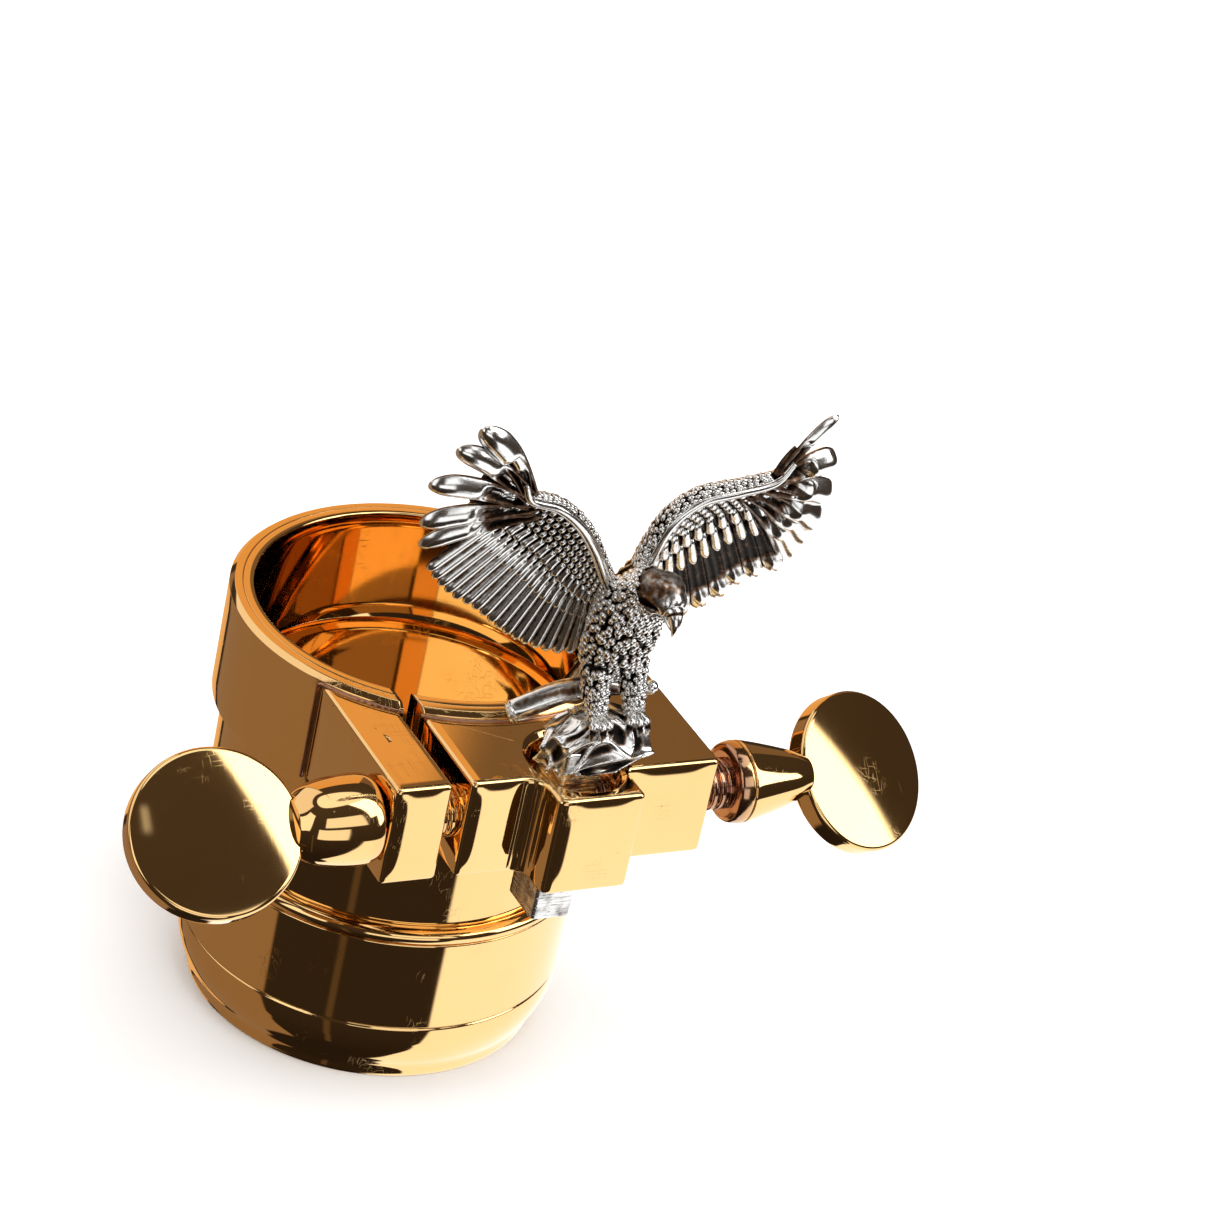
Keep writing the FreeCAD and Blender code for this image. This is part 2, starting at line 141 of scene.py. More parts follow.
class ClampProperties(bpy.types.PropertyGroup):
    """Sizes of the turned and milled pieces that the frame's boxes don't give."""
    edge_round: length_property("Edge round", "Radius of the buffed edges of the blocks", 0.38)
    buffing: length_property("Buffing", "How far buffing has lowered the rims of a flat face", 0.15)
    braze_radius: length_property("Braze radius", "Radius of the braze seam between band and blocks", 0.16)
    thread_pitch: length_property("Thread pitch", "Pitch of both screws", 0.7)
    thread_depth: length_property("Thread depth", "Depth of both screws' threads", 0.3)
    paddle_width: length_property("Paddle width", "Width of a thumb piece across the screw's axis", 12.5)
    paddle_thickness: length_property("Paddle thickness", "Thickness of a thumb piece at its middle", 2.5)
    paddle_crown: length_property("Paddle crown", "How far a thumb piece's face is domed", 0.3)


class BirdProperties(bpy.types.PropertyGroup):
    """Sizes of the casting's plumage."""
    scale_width: length_property("Scale width", "Width of the small feathers on the body", 0.66)
    wing_cup: length_property("Wing cup", "How far each wing is hollowed", 0.9)


class StudioProperties(bpy.types.PropertyGroup):
    """Light and view."""
    view_azimuth: bpy.props.FloatProperty(name="Azimuth",
                                          description="Camera's turn about the bore from the front",
                                          default=math.radians(-32.37), subtype="ANGLE", unit="ROTATION")
    view_elevation: bpy.props.FloatProperty(name="Elevation",
                                            description="Camera's height above the horizon",
                                            default=math.radians(28.98), subtype="ANGLE", unit="ROTATION")
    view_roll: bpy.props.FloatProperty(name="Roll", description="Camera's turn about its own view",
                                       default=math.radians(12.79), subtype="ANGLE", unit="ROTATION")
    view_distance: length_property("Distance", "Camera's distance from its target", 300.0)
    lens: bpy.props.FloatProperty(name="Lens", description="Focal length for a 36 mm sensor, in millimetres",
                                  default=121.73, min=10.0)
    key_strength: bpy.props.FloatProperty(name="Paper strength",
                                          description="Brightness of the big white card",
                                          default=1.27, min=0.0)
    soft_strength: bpy.props.FloatProperty(name="Softbox strength",
                                           description="Brightness of the softboxes",
                                           default=3.2, min=0.0)


# ---- curves and grids ----------------------------------------------------------------------
def unit(vectors):
    return vectors / np.linalg.norm(vectors, axis=-1, keepdims=True)


def ease(x):
    """0 below 0, 1 above 1 and a smooth step between."""
    x = np.clip(x, 0.0, 1.0)
    return x * x * (3 - 2 * x)


def bell(x, middle, spread):
    """1 at the middle, falling away on both sides."""
    return np.exp(-((x - middle) / spread) ** 2)


def smooth(points, t):
    """Values at t, from 0 to 1, on the curve through evenly numbered points: each span is the cubic
    whose end slopes are half the chord between the neighbouring points."""
    p = np.asarray(points, float)
    p = p[:, None] if p.ndim == 1 else p
    p = np.vstack([2 * p[0] - p[1], p, 2 * p[-1] - p[-2]])
    spans = len(p) - 3
    at = np.clip(np.asarray(t, float), 0, 1) * spans
    i = np.minimum(at.astype(int), spans - 1)
    s = (at - i)[..., None]
    a, b, c, d = p[i], p[i + 1], p[i + 2], p[i + 3]
    value = b + 0.5 * s * (c - a + s * (2 * a - 5 * b + 4 * c - d + s * (3 * b - a - 3 * c + d)))
    return value[..., 0] if np.ndim(points[0]) == 0 else value


def evenly(points, t, samples=400):
    """As smooth, but t counts the length along the curve."""
    fine = np.linspace(0, 1, samples)
    curve = smooth(points, fine)
    run = np.concatenate([[0], np.cumsum(np.linalg.norm(np.diff(curve, axis=0), axis=1))])
    return smooth(points, np.interp(np.asarray(t) * run[-1], run, fine))


def outline(corners, radii, step=0.35, arc_points=6):
    """A closed outline whose corners are rounded by arcs. Returns its points and, for each, how far
    along its straight stretch it is, from -1 to 1, with arcs at 1."""
    corners = np.asarray(corners, float)
    points, along, ends = [], [], []
    for k, (corner, radius) in enumerate(zip(corners, radii)):
        u, w = unit(corners[k - 1] - corner), unit(corners[(k + 1) % len(corners)] - corner)
        half = math.acos(np.clip(u @ w, -1, 1)) / 2
        reach = radius / math.tan(half)
        centre = corner + unit(u + w) * radius / math.sin(half)
        a, b = corner + u * reach - centre, corner + w * reach - centre
        turn = math.pi - 2 * half
        t = np.linspace(0, 1, arc_points)[:, None]
        ends.append(centre + (np.sin((1 - t) * turn) * a + np.sin(t * turn) * b) / math.sin(turn))
    for k, arc in enumerate(ends):
        following = ends[(k + 1) % len(ends)][0]
        count = max(2, int(np.linalg.norm(following - arc[-1]) / step))
        t = np.linspace(0, 1, count + 1)[1:-1, None]
        straight = arc[-1] + (following - arc[-1]) * t
        points += [arc, straight]
        along += [np.ones(len(arc)), np.abs(2 * t[:, 0] - 1)]
    return np.vstack(points), np.concatenate(along)


def grid_quads(rows, columns, wrap_rows=False):
    """Quads of a grid whose columns join round, and whose rows do too when asked."""
    i = np.arange(rows if wrap_rows else rows - 1)[:, None]
    j = np.arange(columns)[None, :]
    i2, j2 = (i + 1) % rows, (j + 1) % columns
    corners = [i * columns + j, i * columns + j2, i2 * columns + j2, i2 * columns + j]
    return np.stack(corners, -1).reshape(-1, 4)


def shells(rings, relief=None, wrap=False):
    """Closed shells from rings of points, shape (count, along, around, 3). Each shell is a grid with
    a face over each end, or one that joins end to end, and is turned over if its volume is negative.
    Relief is a height from 0 to 1 for each point. Returns (points, faces, relief)."""
    rings = np.asarray(rings, float)
    count, along, around = rings.shape[:3]
    flat = rings.reshape(count, along * around, 3)
    quads = grid_quads(along, around, wrap)
    centred = flat - flat.mean(1, keepdims=True)
    a, b, c, d = (centred[:, quads[:, k]] for k in range(4))
    inside_out = (a * (np.cross(b, c) + np.cross(c, d))).sum((1, 2)) < 0
    shift = (np.arange(count) * along * around)[:, None, None]
    ends = np.stack([np.arange(around)[::-1], (along - 1) * around + np.arange(around)])
    faces = []
    for flat_faces in [quads] if wrap else [quads, ends]:
        placed = flat_faces[None] + shift
        placed[inside_out] = placed[inside_out][:, :, ::-1]
        faces.append(placed.reshape(-1, flat_faces.shape[1]))
    heights = np.zeros(rings.shape[:3]) if relief is None else np.broadcast_to(relief, rings.shape[:3])
    return flat.reshape(-1, 3), faces, heights.ravel()


def joined(*shapes):
    """Several (points, faces, relief) as one."""
    points, faces, relief, start = [], [], [], 0
    for p, f, r in shapes:
        points.append(p)
        relief.append(r)
        faces += [block + start for block in f]
        start += len(p)
    return np.vstack(points), faces, np.concatenate(relief)


def piece(name, shape, body, material, nodes=(), weighted=False):
    """Puts a shape into a mesh at its place, in metres, and hangs it on its body."""
    points, faces, relief = shape
    mesh = bpy.data.meshes.new(name)
    sizes = np.concatenate([np.full(len(f), f.shape[1]) for f in faces])
    corners = np.concatenate([f.ravel() for f in faces])
    mesh.vertices.add(len(points))
    mesh.vertices.foreach_set("co", (points * MM).astype(np.float32).ravel())
    mesh.loops.add(len(corners))
    mesh.loops.foreach_set("vertex_index", corners.astype(np.int32))
    mesh.polygons.add(len(sizes))
    mesh.polygons.foreach_set("loop_start", (np.cumsum(sizes) - sizes).astype(np.int32))
    mesh.polygons.foreach_set("use_smooth", np.ones(len(sizes), bool))
    mesh.attributes.new("relief", "FLOAT", "POINT").data.foreach_set("value", relief.astype(np.float32))
    mesh.update(calc_edges=True)
    mesh.validate()
    mesh.materials.append(material)
    made = bpy.data.objects.new(name, mesh)
    bpy.context.scene.collection.objects.link(made)
    if weighted:
        finish = made.modifiers.new("flat faces stay flat", "WEIGHTED_NORMAL")
        finish.mode = "FACE_AREA"
        finish.weight = 100
    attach(made, body)
    if nodes:
        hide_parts(*nodes)
    return made


def cast(name, shape, *nodes):
    """A piece of the silver ornament."""
    return piece(name, shape, "ornament", oxidised_silver(), nodes)


def turn_through(count):
    """Angles of a full turn, the last one short of the first."""
    return np.linspace(0, 2 * math.pi, count, endpoint=False)


# ---- shader nodes --------------------------------------------------------------------------
def node(tree, kind, inputs=None, **settings):
    """One shader node, with its inputs set or linked by name or number."""
    made = tree.nodes.new(kind)
    for key, value in settings.items():
        setattr(made, key, value)
    for key, value in (inputs or {}).items():
        if isinstance(value, bpy.types.NodeSocket):
            tree.links.new(value, made.inputs[key])
        else:
            made.inputs[key].default_value = value
    return made


def maths(tree, operation, a, b=0.0, clamp=False):
    return node(tree, "ShaderNodeMath", {0: a, 1: b}, operation=operation, use_clamp=clamp).outputs[0]


def plus(tree, a, b, clamp=False):
    return maths(tree, "ADD", a, b, clamp)


def minus(tree, a, b, clamp=False):
    return maths(tree, "SUBTRACT", a, b, clamp)


def times(tree, a, b, clamp=False):
    return maths(tree, "MULTIPLY", a, b, clamp)


def object_place(tree):
    return node(tree, "ShaderNodeTexCoord").outputs["Object"]


def noise(tree, where, scale, detail=2.0):
    return node(tree, "ShaderNodeTexNoise", {"Vector": where, "Scale": scale,
                                             "Detail": detail}).outputs["Fac"]


def blend_colour(tree, share, a, b):
    made = node(tree, "ShaderNodeMix", data_type="RGBA")
    for socket, value in ((made.inputs[0], share), (made.inputs[6], a), (made.inputs[7], b)):
        if isinstance(value, bpy.types.NodeSocket):
            tree.links.new(value, socket)
        else:
            socket.default_value = value
    return made.outputs[2]


def rgba(colour):
    return (*colour, 1.0)


def feed(tree, shader, colour, roughness, bump):
    """Links what a metal's shader takes."""
    for socket, value in (("Base Color", colour), ("Roughness", roughness), ("Normal", bump.outputs[0])):
        tree.links.new(value, shader.inputs[socket])


def group(name, inputs, outputs):
    """An empty node group with its sockets: (name, kind, default) in and (name, kind) out."""
    made = bpy.data.node_groups.new(name, "ShaderNodeTree")
    for label, kind, default in inputs:
        made.interface.new_socket(label, in_out="INPUT", socket_type=kind).default_value = default
    for label, kind in outputs:
        made.interface.new_socket(label, in_out="OUTPUT", socket_type=kind)
    return made, made.nodes.new("NodeGroupInput").outputs, made.nodes.new("NodeGroupOutput")


def scratch_group():
    """Hairline scratches: thin lines where stretched noise crosses its middle value, in two directions.
    Puts out their mask and a height for bump."""
    if "Hairline scratches" in bpy.data.node_groups:
        return bpy.data.node_groups["Hairline scratches"]
    tree, given, result = group("Hairline scratches",
                                [("Amount", "NodeSocketFloat", 0.5), ("Scale", "NodeSocketFloat", 1.0)],
                                [("Mask", "NodeSocketFloat"), ("Height", "NodeSocketFloat")])
    here = object_place(tree)
    sized = node(tree, "ShaderNodeVectorMath", {0: here, "Scale": given["Scale"]},
                 operation="SCALE").outputs[0]
    lines = []
    for turn, stretch in (((0.3, 0.5, 0.2), (2600, 90, 900)), ((1.1, 0.2, 0.9), (80, 1900, 1200))):
        turned = node(tree, "ShaderNodeMapping",
                      {"Vector": sized, "Rotation": turn, "Scale": stretch}).outputs[0]
        cloud = noise(tree, turned, 1.0, 1.0)
        off = maths(tree, "ABSOLUTE", minus(tree, cloud, 0.5))
        lines.append(minus(tree, 1.0, maths(tree, "DIVIDE", off, 0.007), clamp=True))
    patchy = noise(tree, sized, 260.0, 2.0)
    where = times(tree, minus(tree, patchy, 0.56), 8.0, clamp=True)
    mask = times(tree, maths(tree, "MAXIMUM", *lines), where)
    mask = times(tree, mask, given["Amount"])
    tree.links.new(mask, result.inputs["Mask"])
    tree.links.new(times(tree, mask, -1.0), result.inputs["Height"])
    return tree


def grain_group():
    """Directional grain left by turning, milling or buffing: noise squeezed along one axis, with a
    few pits. Puts out the grain, the pits and both as a height."""
    if "Tool grain" in bpy.data.node_groups:
        return bpy.data.node_groups["Tool grain"]
    sockets_in = [("Squeeze", "NodeSocketVector", (1.0, 1.0, 1.0)), ("Pits", "NodeSocketFloat", 0.0)]
    sockets_out = [(label, "NodeSocketFloat") for label in ("Grain", "Pits", "Height")]
    tree, given, result = group("Tool grain", sockets_in, sockets_out)
    here = object_place(tree)
    squeezed = node(tree, "ShaderNodeVectorMath", {0: here, 1: given["Squeeze"]},
                    operation="MULTIPLY").outputs[0]
    grain = noise(tree, squeezed, 1000.0, 3.0)
    cells = node(tree, "ShaderNodeTexVoronoi", {"Vector": here, "Scale": 1100.0},
                 feature="F1").outputs["Distance"]
    rare = noise(tree, here, 420.0)
    pit = minus(tree, 1.0, maths(tree, "DIVIDE", cells, 0.13), clamp=True)
    pit = times(tree, pit, times(tree, minus(tree, rare, 0.56), 12.0, clamp=True))
    pit = times(tree, pit, given["Pits"])
    height = minus(tree, grain, times(tree, pit, 6.0))
    for label, value in (("Grain", grain), ("Pits", pit), ("Height", height)):
        tree.links.new(value, result.inputs[label])
    return tree


def lacquer_group():
    """Slow colour drift of lacquered brass: cloudy noise. Puts out a share from 0 to 1."""
    if "Lacquer drift" in bpy.data.node_groups:
        return bpy.data.node_groups["Lacquer drift"]
    tree, given, result = group("Lacquer drift", [("Scale", "NodeSocketFloat", 90.0)],
                                [("Share", "NodeSocketFloat")])
    here = object_place(tree)
    broad = noise(tree, here, given["Scale"], 3.0)
    spread = times(tree, minus(tree, broad, 0.38), 2.4, clamp=True)
    tree.links.new(spread, result.inputs["Share"])
    return tree


def fresh_material(name):
    """A material with an empty tree, its Principled shader and its output."""
    material = bpy.data.materials.new(name)
    material.use_nodes = True
    tree = material.node_tree
    tree.nodes.clear()
    shader = node(tree, "ShaderNodeBsdfPrincipled", {"Metallic": 1.0})
    node(tree, "ShaderNodeOutputMaterial", {"Surface": shader.outputs[0]})
    return material, tree, shader


def brass(name, squeeze=(1.0, 1.0, 1.0), pits=0.0, grain_height=0.15, drift=0.35, rough=None,
          scratch_share=1.0):
    """Polished, lacquered brass with its own tool grain. The mesh's relief value is heat tint on the braze
    seams, and painted shade with a painted reflection of the block, plus some heat tint, at the screws'
    seats.
    """
    if name in bpy.data.materials:
        return bpy.data.materials[name]
    finish = bpy.context.scene.clamp_finish
    material, tree, shader = fresh_material(name)
    share = node(tree, "ShaderNodeGroup", {"Scale": 90.0}, node_tree=lacquer_group()).outputs["Share"]
    scratch = node(tree, "ShaderNodeGroup", {"Amount": finish.scratches * scratch_share, "Scale": 1.0},
                   node_tree=scratch_group())
    grain = node(tree, "ShaderNodeGroup", {"Squeeze": squeeze, "Pits": pits}, node_tree=grain_group())
    tint_and_shade_share = node(tree, "ShaderNodeAttribute", attribute_name="relief").outputs["Fac"]
    colour = blend_colour(tree, times(tree, share, drift), rgba(finish.brass), rgba(finish.brass_deep))
    # Heat tint of the braze seams; on the screws the same blend paints the shade and the brown reflection by
    # the block
    colour = blend_colour(tree, tint_and_shade_share, colour, rgba(finish.braze_tint_and_seat_shade))
    colour = blend_colour(tree, grain.outputs["Pits"], colour, (0.10, 0.05, 0.02, 1.0))
    smear = noise(tree, object_place(tree), 210.0, 4.0)
    base = finish.polish if rough is None else rough
    roughness = plus(tree, times(tree, smear, base), base * 0.5)
    roughness = plus(tree, roughness, times(tree, scratch.outputs["Mask"], 0.25))
    roughness = plus(tree, roughness, times(tree, tint_and_shade_share, 0.12))
    height = plus(tree, scratch.outputs["Height"], times(tree, grain.outputs["Height"], grain_height))
    bump = node(tree, "ShaderNodeBump", {"Strength": 0.35, "Distance": 0.00002, "Height": height})
    feed(tree, shader, colour, roughness, bump)
    shader.inputs["Coat Weight"].default_value = 0.25
    shader.inputs["Coat Roughness"].default_value = 0.04
    return material


def collar_brass():
    """Turned about z, so its grain runs round it."""
    return brass("collar brass", squeeze=(0.15, 0.15, 6.0), grain_height=0.035)


def block_brass():
    """Milled and buffed, with a few pits."""
    return brass("block brass", squeeze=(2.0, 2.0, 0.4), pits=1.0, grain_height=0.05)


def screw_brass():
    """Turned about x."""
    return brass("screw brass", squeeze=(5.0, 0.3, 0.3), grain_height=0.04, scratch_share=0.25)


def braze_metal():
    """Braze alloy and the purple-brown heat tint beside it."""
    return brass("braze", squeeze=(1.5, 1.5, 1.5), grain_height=0.8, rough=0.22, drift=0.8)


def oxidised_silver():
    """Cast silver: the mesh's relief value picks black oxide low down, then brown, then bright
    polished metal, and noise breaks the borders up."""
    if "oxidised silver" in bpy.data.materials:
        return bpy.data.materials["oxidised silver"]
    finish = bpy.context.scene.clamp_finish
    material, tree, shader = fresh_material("oxidised silver")
    here = object_place(tree)
    relief = node(tree, "ShaderNodeAttribute", attribute_name="relief").outputs["Fac"]
    fine = noise(tree, here, 2600.0, 4.0)
    broad = noise(tree, here, 700.0, 2.0)
    stain = times(tree, minus(tree, fine, 0.5), 0.45)
    stain = plus(tree, stain, times(tree, minus(tree, broad, 0.5), 0.35))
    level = plus(tree, relief, stain, clamp=True)
    ramp = node(tree, "ShaderNodeValToRGB", {"Fac": level})
    stops = ramp.color_ramp.elements
    stops[0].position, stops[0].color = 0.16, rgba(finish.oxide)
    stops[1].position, stops[1].color = 0.56, rgba(finish.silver)
    brown = stops.new(0.34)
    brown.color = rgba(finish.brown_oxide)
    grey = stops.new(0.46)
    grey.color = (0.42, 0.39, 0.36, 1.0)
    roughness = minus(tree, 0.38, times(tree, level, 0.24))
    roughness = plus(tree, roughness, times(tree, fine, 0.05))
    bump = node(tree, "ShaderNodeBump", {"Strength": 0.3, "Distance": 0.00003, "Height": fine})
    feed(tree, shader, ramp.outputs["Color"], roughness, bump)
    return material


def sawn_silver():
    """Stem bar: bright, with saw and file marks across it and dark stains in them."""
    if "sawn silver" in bpy.data.materials:
        return bpy.data.materials["sawn silver"]
    finish = bpy.context.scene.clamp_finish
    material, tree, shader = fresh_material("sawn silver")
    grain = node(tree, "ShaderNodeGroup", {"Squeeze": (0.5, 0.5, 4.0), "Pits": 0.6}, node_tree=grain_group())
    here = object_place(tree)
    broad = noise(tree, here, 900.0, 5.0)
    stained = times(tree, minus(tree, broad, 0.52), 4.0, clamp=True)
    colour = blend_colour(tree, stained, rgba(finish.silver), (0.16, 0.14, 0.13, 1.0))
    roughness = plus(tree, times(tree, grain.outputs["Grain"], 0.3), 0.12)
    bump = node(tree, "ShaderNodeBump", {"Strength": 0.8, "Distance": 0.00008,
                                         "Height": grain.outputs["Height"]})
    feed(tree, shader, colour, roughness, bump)
    return material


# ---- the collar ----------------------------------------------------------------------------
def turned_ring(profile, gap=None, around=288):
    """A closed (radius, height) profile turned about the bore's axis. With a gap, each point runs the
    long way round between two flat faces at those x, so the angle range depends on its radius."""
    profile = np.asarray(profile, float)
    radius, height = profile[:, 0], profile[:, 1]
    if gap is None:
        angle = turn_through(around)[:, None] + 0 * radius
    else:
        first, last = np.arcsin(gap[1] / radius), np.arcsin(gap[0] / radius) + 2 * math.pi
        angle = first + (last - first) * np.linspace(0, 1, around)[:, None]
    ring = np.stack([radius * np.sin(angle), -radius * np.cos(angle), height + 0 * angle], -1)
    return shells(ring[None], wrap=gap is None)


class NECKCLAMP_OT_collar(bpy.types.Operator):
    """Turns the sleeve, the clamp band, the bead and the ferrule."""
    bl_idname = "neck_clamp.collar"
    bl_label = "Collar"

    def execute(self, context):
        upper, _ = outline([(BORE, 0), (SLEEVE_OUT, 0), (SLEEVE_OUT, BAND_LOW), (BORE, BAND_LOW)],
                           [0.15, 0.05, 0.01, 0.01], step=1.2, arc_points=3)
        lower, _ = outline([(BORE, BAND_LOW), (SLEEVE_OUT, BAND_LOW), (SLEEVE_OUT, SLEEVE_LOW),
                            (BORE, SLEEVE_LOW)], [0.01, 0.01, 0.05, 0.15], step=1.2, arc_points=3)
        sleeve = joined(turned_ring(upper, SLIT), turned_ring(lower))

        chamfer = 0.38
        band, _ = outline([(SLEEVE_OUT, BAND_LOW), (BAND_OUT, BAND_LOW), (BAND_OUT, -chamfer),
                           (BAND_OUT - chamfer, 0), (SLEEVE_OUT, 0)],
                          [0.02, 0.18, 0.12, 0.12, 0.02], step=1.2, arc_points=5)

        low, high = box("ferrule_bead")
        middle, half = (low[2] + high[2]) / 2, (high[2] - low[2]) / 2
        swell = np.linspace(-math.pi / 2, math.pi / 2, 15)
        bead = np.stack([SLEEVE_OUT + 0.2 + (high[0] - SLEEVE_OUT - 0.2) * np.cos(swell),
                         middle + half * np.sin(swell)], -1)
        bead = np.vstack([[SLEEVE_OUT - 0.1, middle - half], bead, [SLEEVE_OUT - 0.1, middle + half]])
        shapes = {"receiver_sleeve": sleeve, "clamp_band": turned_ring(band, SLIT),
                  "ferrule_bead": turned_ring(bead), "body_ferrule": turned_ring(self.ferrule_profile())}
        for name, shape in shapes.items():
            piece(name + "_turned", shape, "collar", collar_brass(), [name],
                  weighted=name != "ferrule_bead")
        return {"FINISHED"}

    @staticmethod
    def ferrule_profile():
        """Skirt, step and cove outside, the body tube's socket inside."""
        low, high = box("body_ferrule")
        outer, top, bottom = high[0], high[2], low[2]
        neck, step = BODY_BORE + 0.85, bottom + 5.7
        cove_top = step - 1.6
        cove = smooth([(outer - 0.1, cove_top), (outer - 0.28, cove_top - 1.0),
                       (outer - 0.65, (cove_top + bottom) / 2), (neck + 0.2, bottom + 1.1),
                       (neck, bottom + 0.05)], np.linspace(0, 1, 18))
        inside = [(BODY_BORE, bottom), (BODY_BORE, bottom + 8), (BODY_BORE - 0.8, bottom + 8),
                  (BODY_BORE - 0.8, SLEEVE_LOW), (SLEEVE_OUT - 0.1, SLEEVE_LOW), (SLEEVE_OUT - 0.1, top)]
        edge = smooth([(outer - 0.16, top), (outer - 0.04, top - 0.04), (outer, top - 0.16)],
                      np.linspace(0, 1, 6))
        groove = smooth([(outer, step), (outer - 0.08, step - 0.12), (outer - 0.22, step - 0.24),
                         (outer - 0.12, step - 0.38), (outer - 0.1, step - 0.5)], np.linspace(0, 1, 12))
        return np.vstack([inside, edge, groove, cove])


# ---- the clamp blocks ----------------------------------------------------------------------
def buffed_block(points, along, low, high, hole=None, hole_round=0.5):
    """A prism with buffed faces. The outline is carried up through levels: at each the wall steps in
    by the round of the edges and by the buffing, which grows with the fourth power of the distance
    from a face's middle. With a hole the top and bottom run in to it, else to the outline's middle."""
    sizes = bpy.context.scene.clamp_sizes
    edge, buff = sizes.edge_round / MM, sizes.buffing / MM
    before, after = np.roll(points, 1, 0), np.roll(points, -1, 0)
    ahead = unit(after - before)
    inward = np.stack([-ahead[:, 1], ahead[:, 0]], -1)
    area = 0.5 * np.sum(before[:, 0] * points[:, 1] - points[:, 0] * before[:, 1])
    inward = inward if area > 0 else -inward
    turn = np.linspace(0, math.pi / 2, 6)
    rise = np.linspace(-1, 1, 29)[1:-1]
    half = (high - low) / 2
    inset = np.concatenate([edge * (1 - np.sin(turn)), np.zeros(len(rise)), edge * (1 - np.cos(turn))])
    level = np.concatenate([low + edge * (1 - np.cos(turn)), (low + high) / 2 + rise * (half - edge),
                            high - edge * (1 - np.sin(turn))])
    up = np.clip(np.abs(level - (low + high) / 2) / (half - edge), 0, 1)
    worn = buff * (1 - (1 - along[None] ** 4 * 0.999) * (1 - up[:, None] ** 4 * 0.999)) * (along[None] < 1.5)
    wall = points[None] + inward[None] * (inset[:, None] + worn)[..., None]
    wall = np.concatenate([wall, np.broadcast_to(level[:, None, None], (*wall.shape[:2], 1))], -1)
    if hole is None:
        middle = points.mean(0)
        rim = middle + (points - middle) * 0.01
        through = [(rim, high), (rim, low)]
    else:
        rim = hole(points, hole_round)
        sink = np.linspace(0, 1, 5)
        through = [(hole(points, hole_round * (1 - s)), high - hole_round * s) for s in sink]
        through += [(hole(points, hole_round * s), low + hole_round * (1 - s)) for s in sink]
    reach = np.linspace(0, 1, 12)[1:-1]
    flats = [(wall[-1, :, :2] * (1 - r) + rim * r, high) for r in reach] + through
    flats += [(wall[0, :, :2] * r + rim * (1 - r), low) for r in reach]
    rings = np.concatenate([wall, [np.column_stack([flat, np.full(len(points), z)]) for flat, z in flats]])
    return shells(rings[None], wrap=True)


def braze_seam(x_side, x_slit, low, high, radius):
    """A round bead up the corner between band and block, then along the block's top to the slit. Its
    centre line is the corner's line, and its section stands off the band's own direction."""
    around = BAND_OUT + radius * 0.1
    up = np.linspace(low, high - 0.3, 20)
    side = np.column_stack([np.full(20, x_side), -np.sqrt(around ** 2 - x_side ** 2) * np.ones(20), up])
    across = np.linspace(x_side, x_slit, 60)
    top = np.column_stack([across, -np.sqrt(around ** 2 - across ** 2), np.full(60, high + radius * 0.2)])
    corner = smooth([side[-1], (side[-1] + top[0]) / 2, top[2]], np.linspace(0, 1, 6))[1:-1]
    path = np.vstack([side, corner, top[2:]])
    ahead = unit(np.gradient(path, axis=0))
    away = unit(path * (1, 1, 0))
    away = unit(away - ahead * (away * ahead).sum(1, keepdims=True))
    other = np.cross(ahead, away)
    angle = turn_through(14)
    wave = 1 + 0.12 * np.sin(np.arange(len(path)) * 0.9) * np.sin(np.arange(len(path)) * 0.37)
    ring = path[:, None] + radius * wave[:, None, None] * (np.cos(angle)[None, :, None] * away[:, None]
                                                           + np.sin(angle)[None, :, None] * other[:, None])
    return shells(ring[None], relief=0.85)


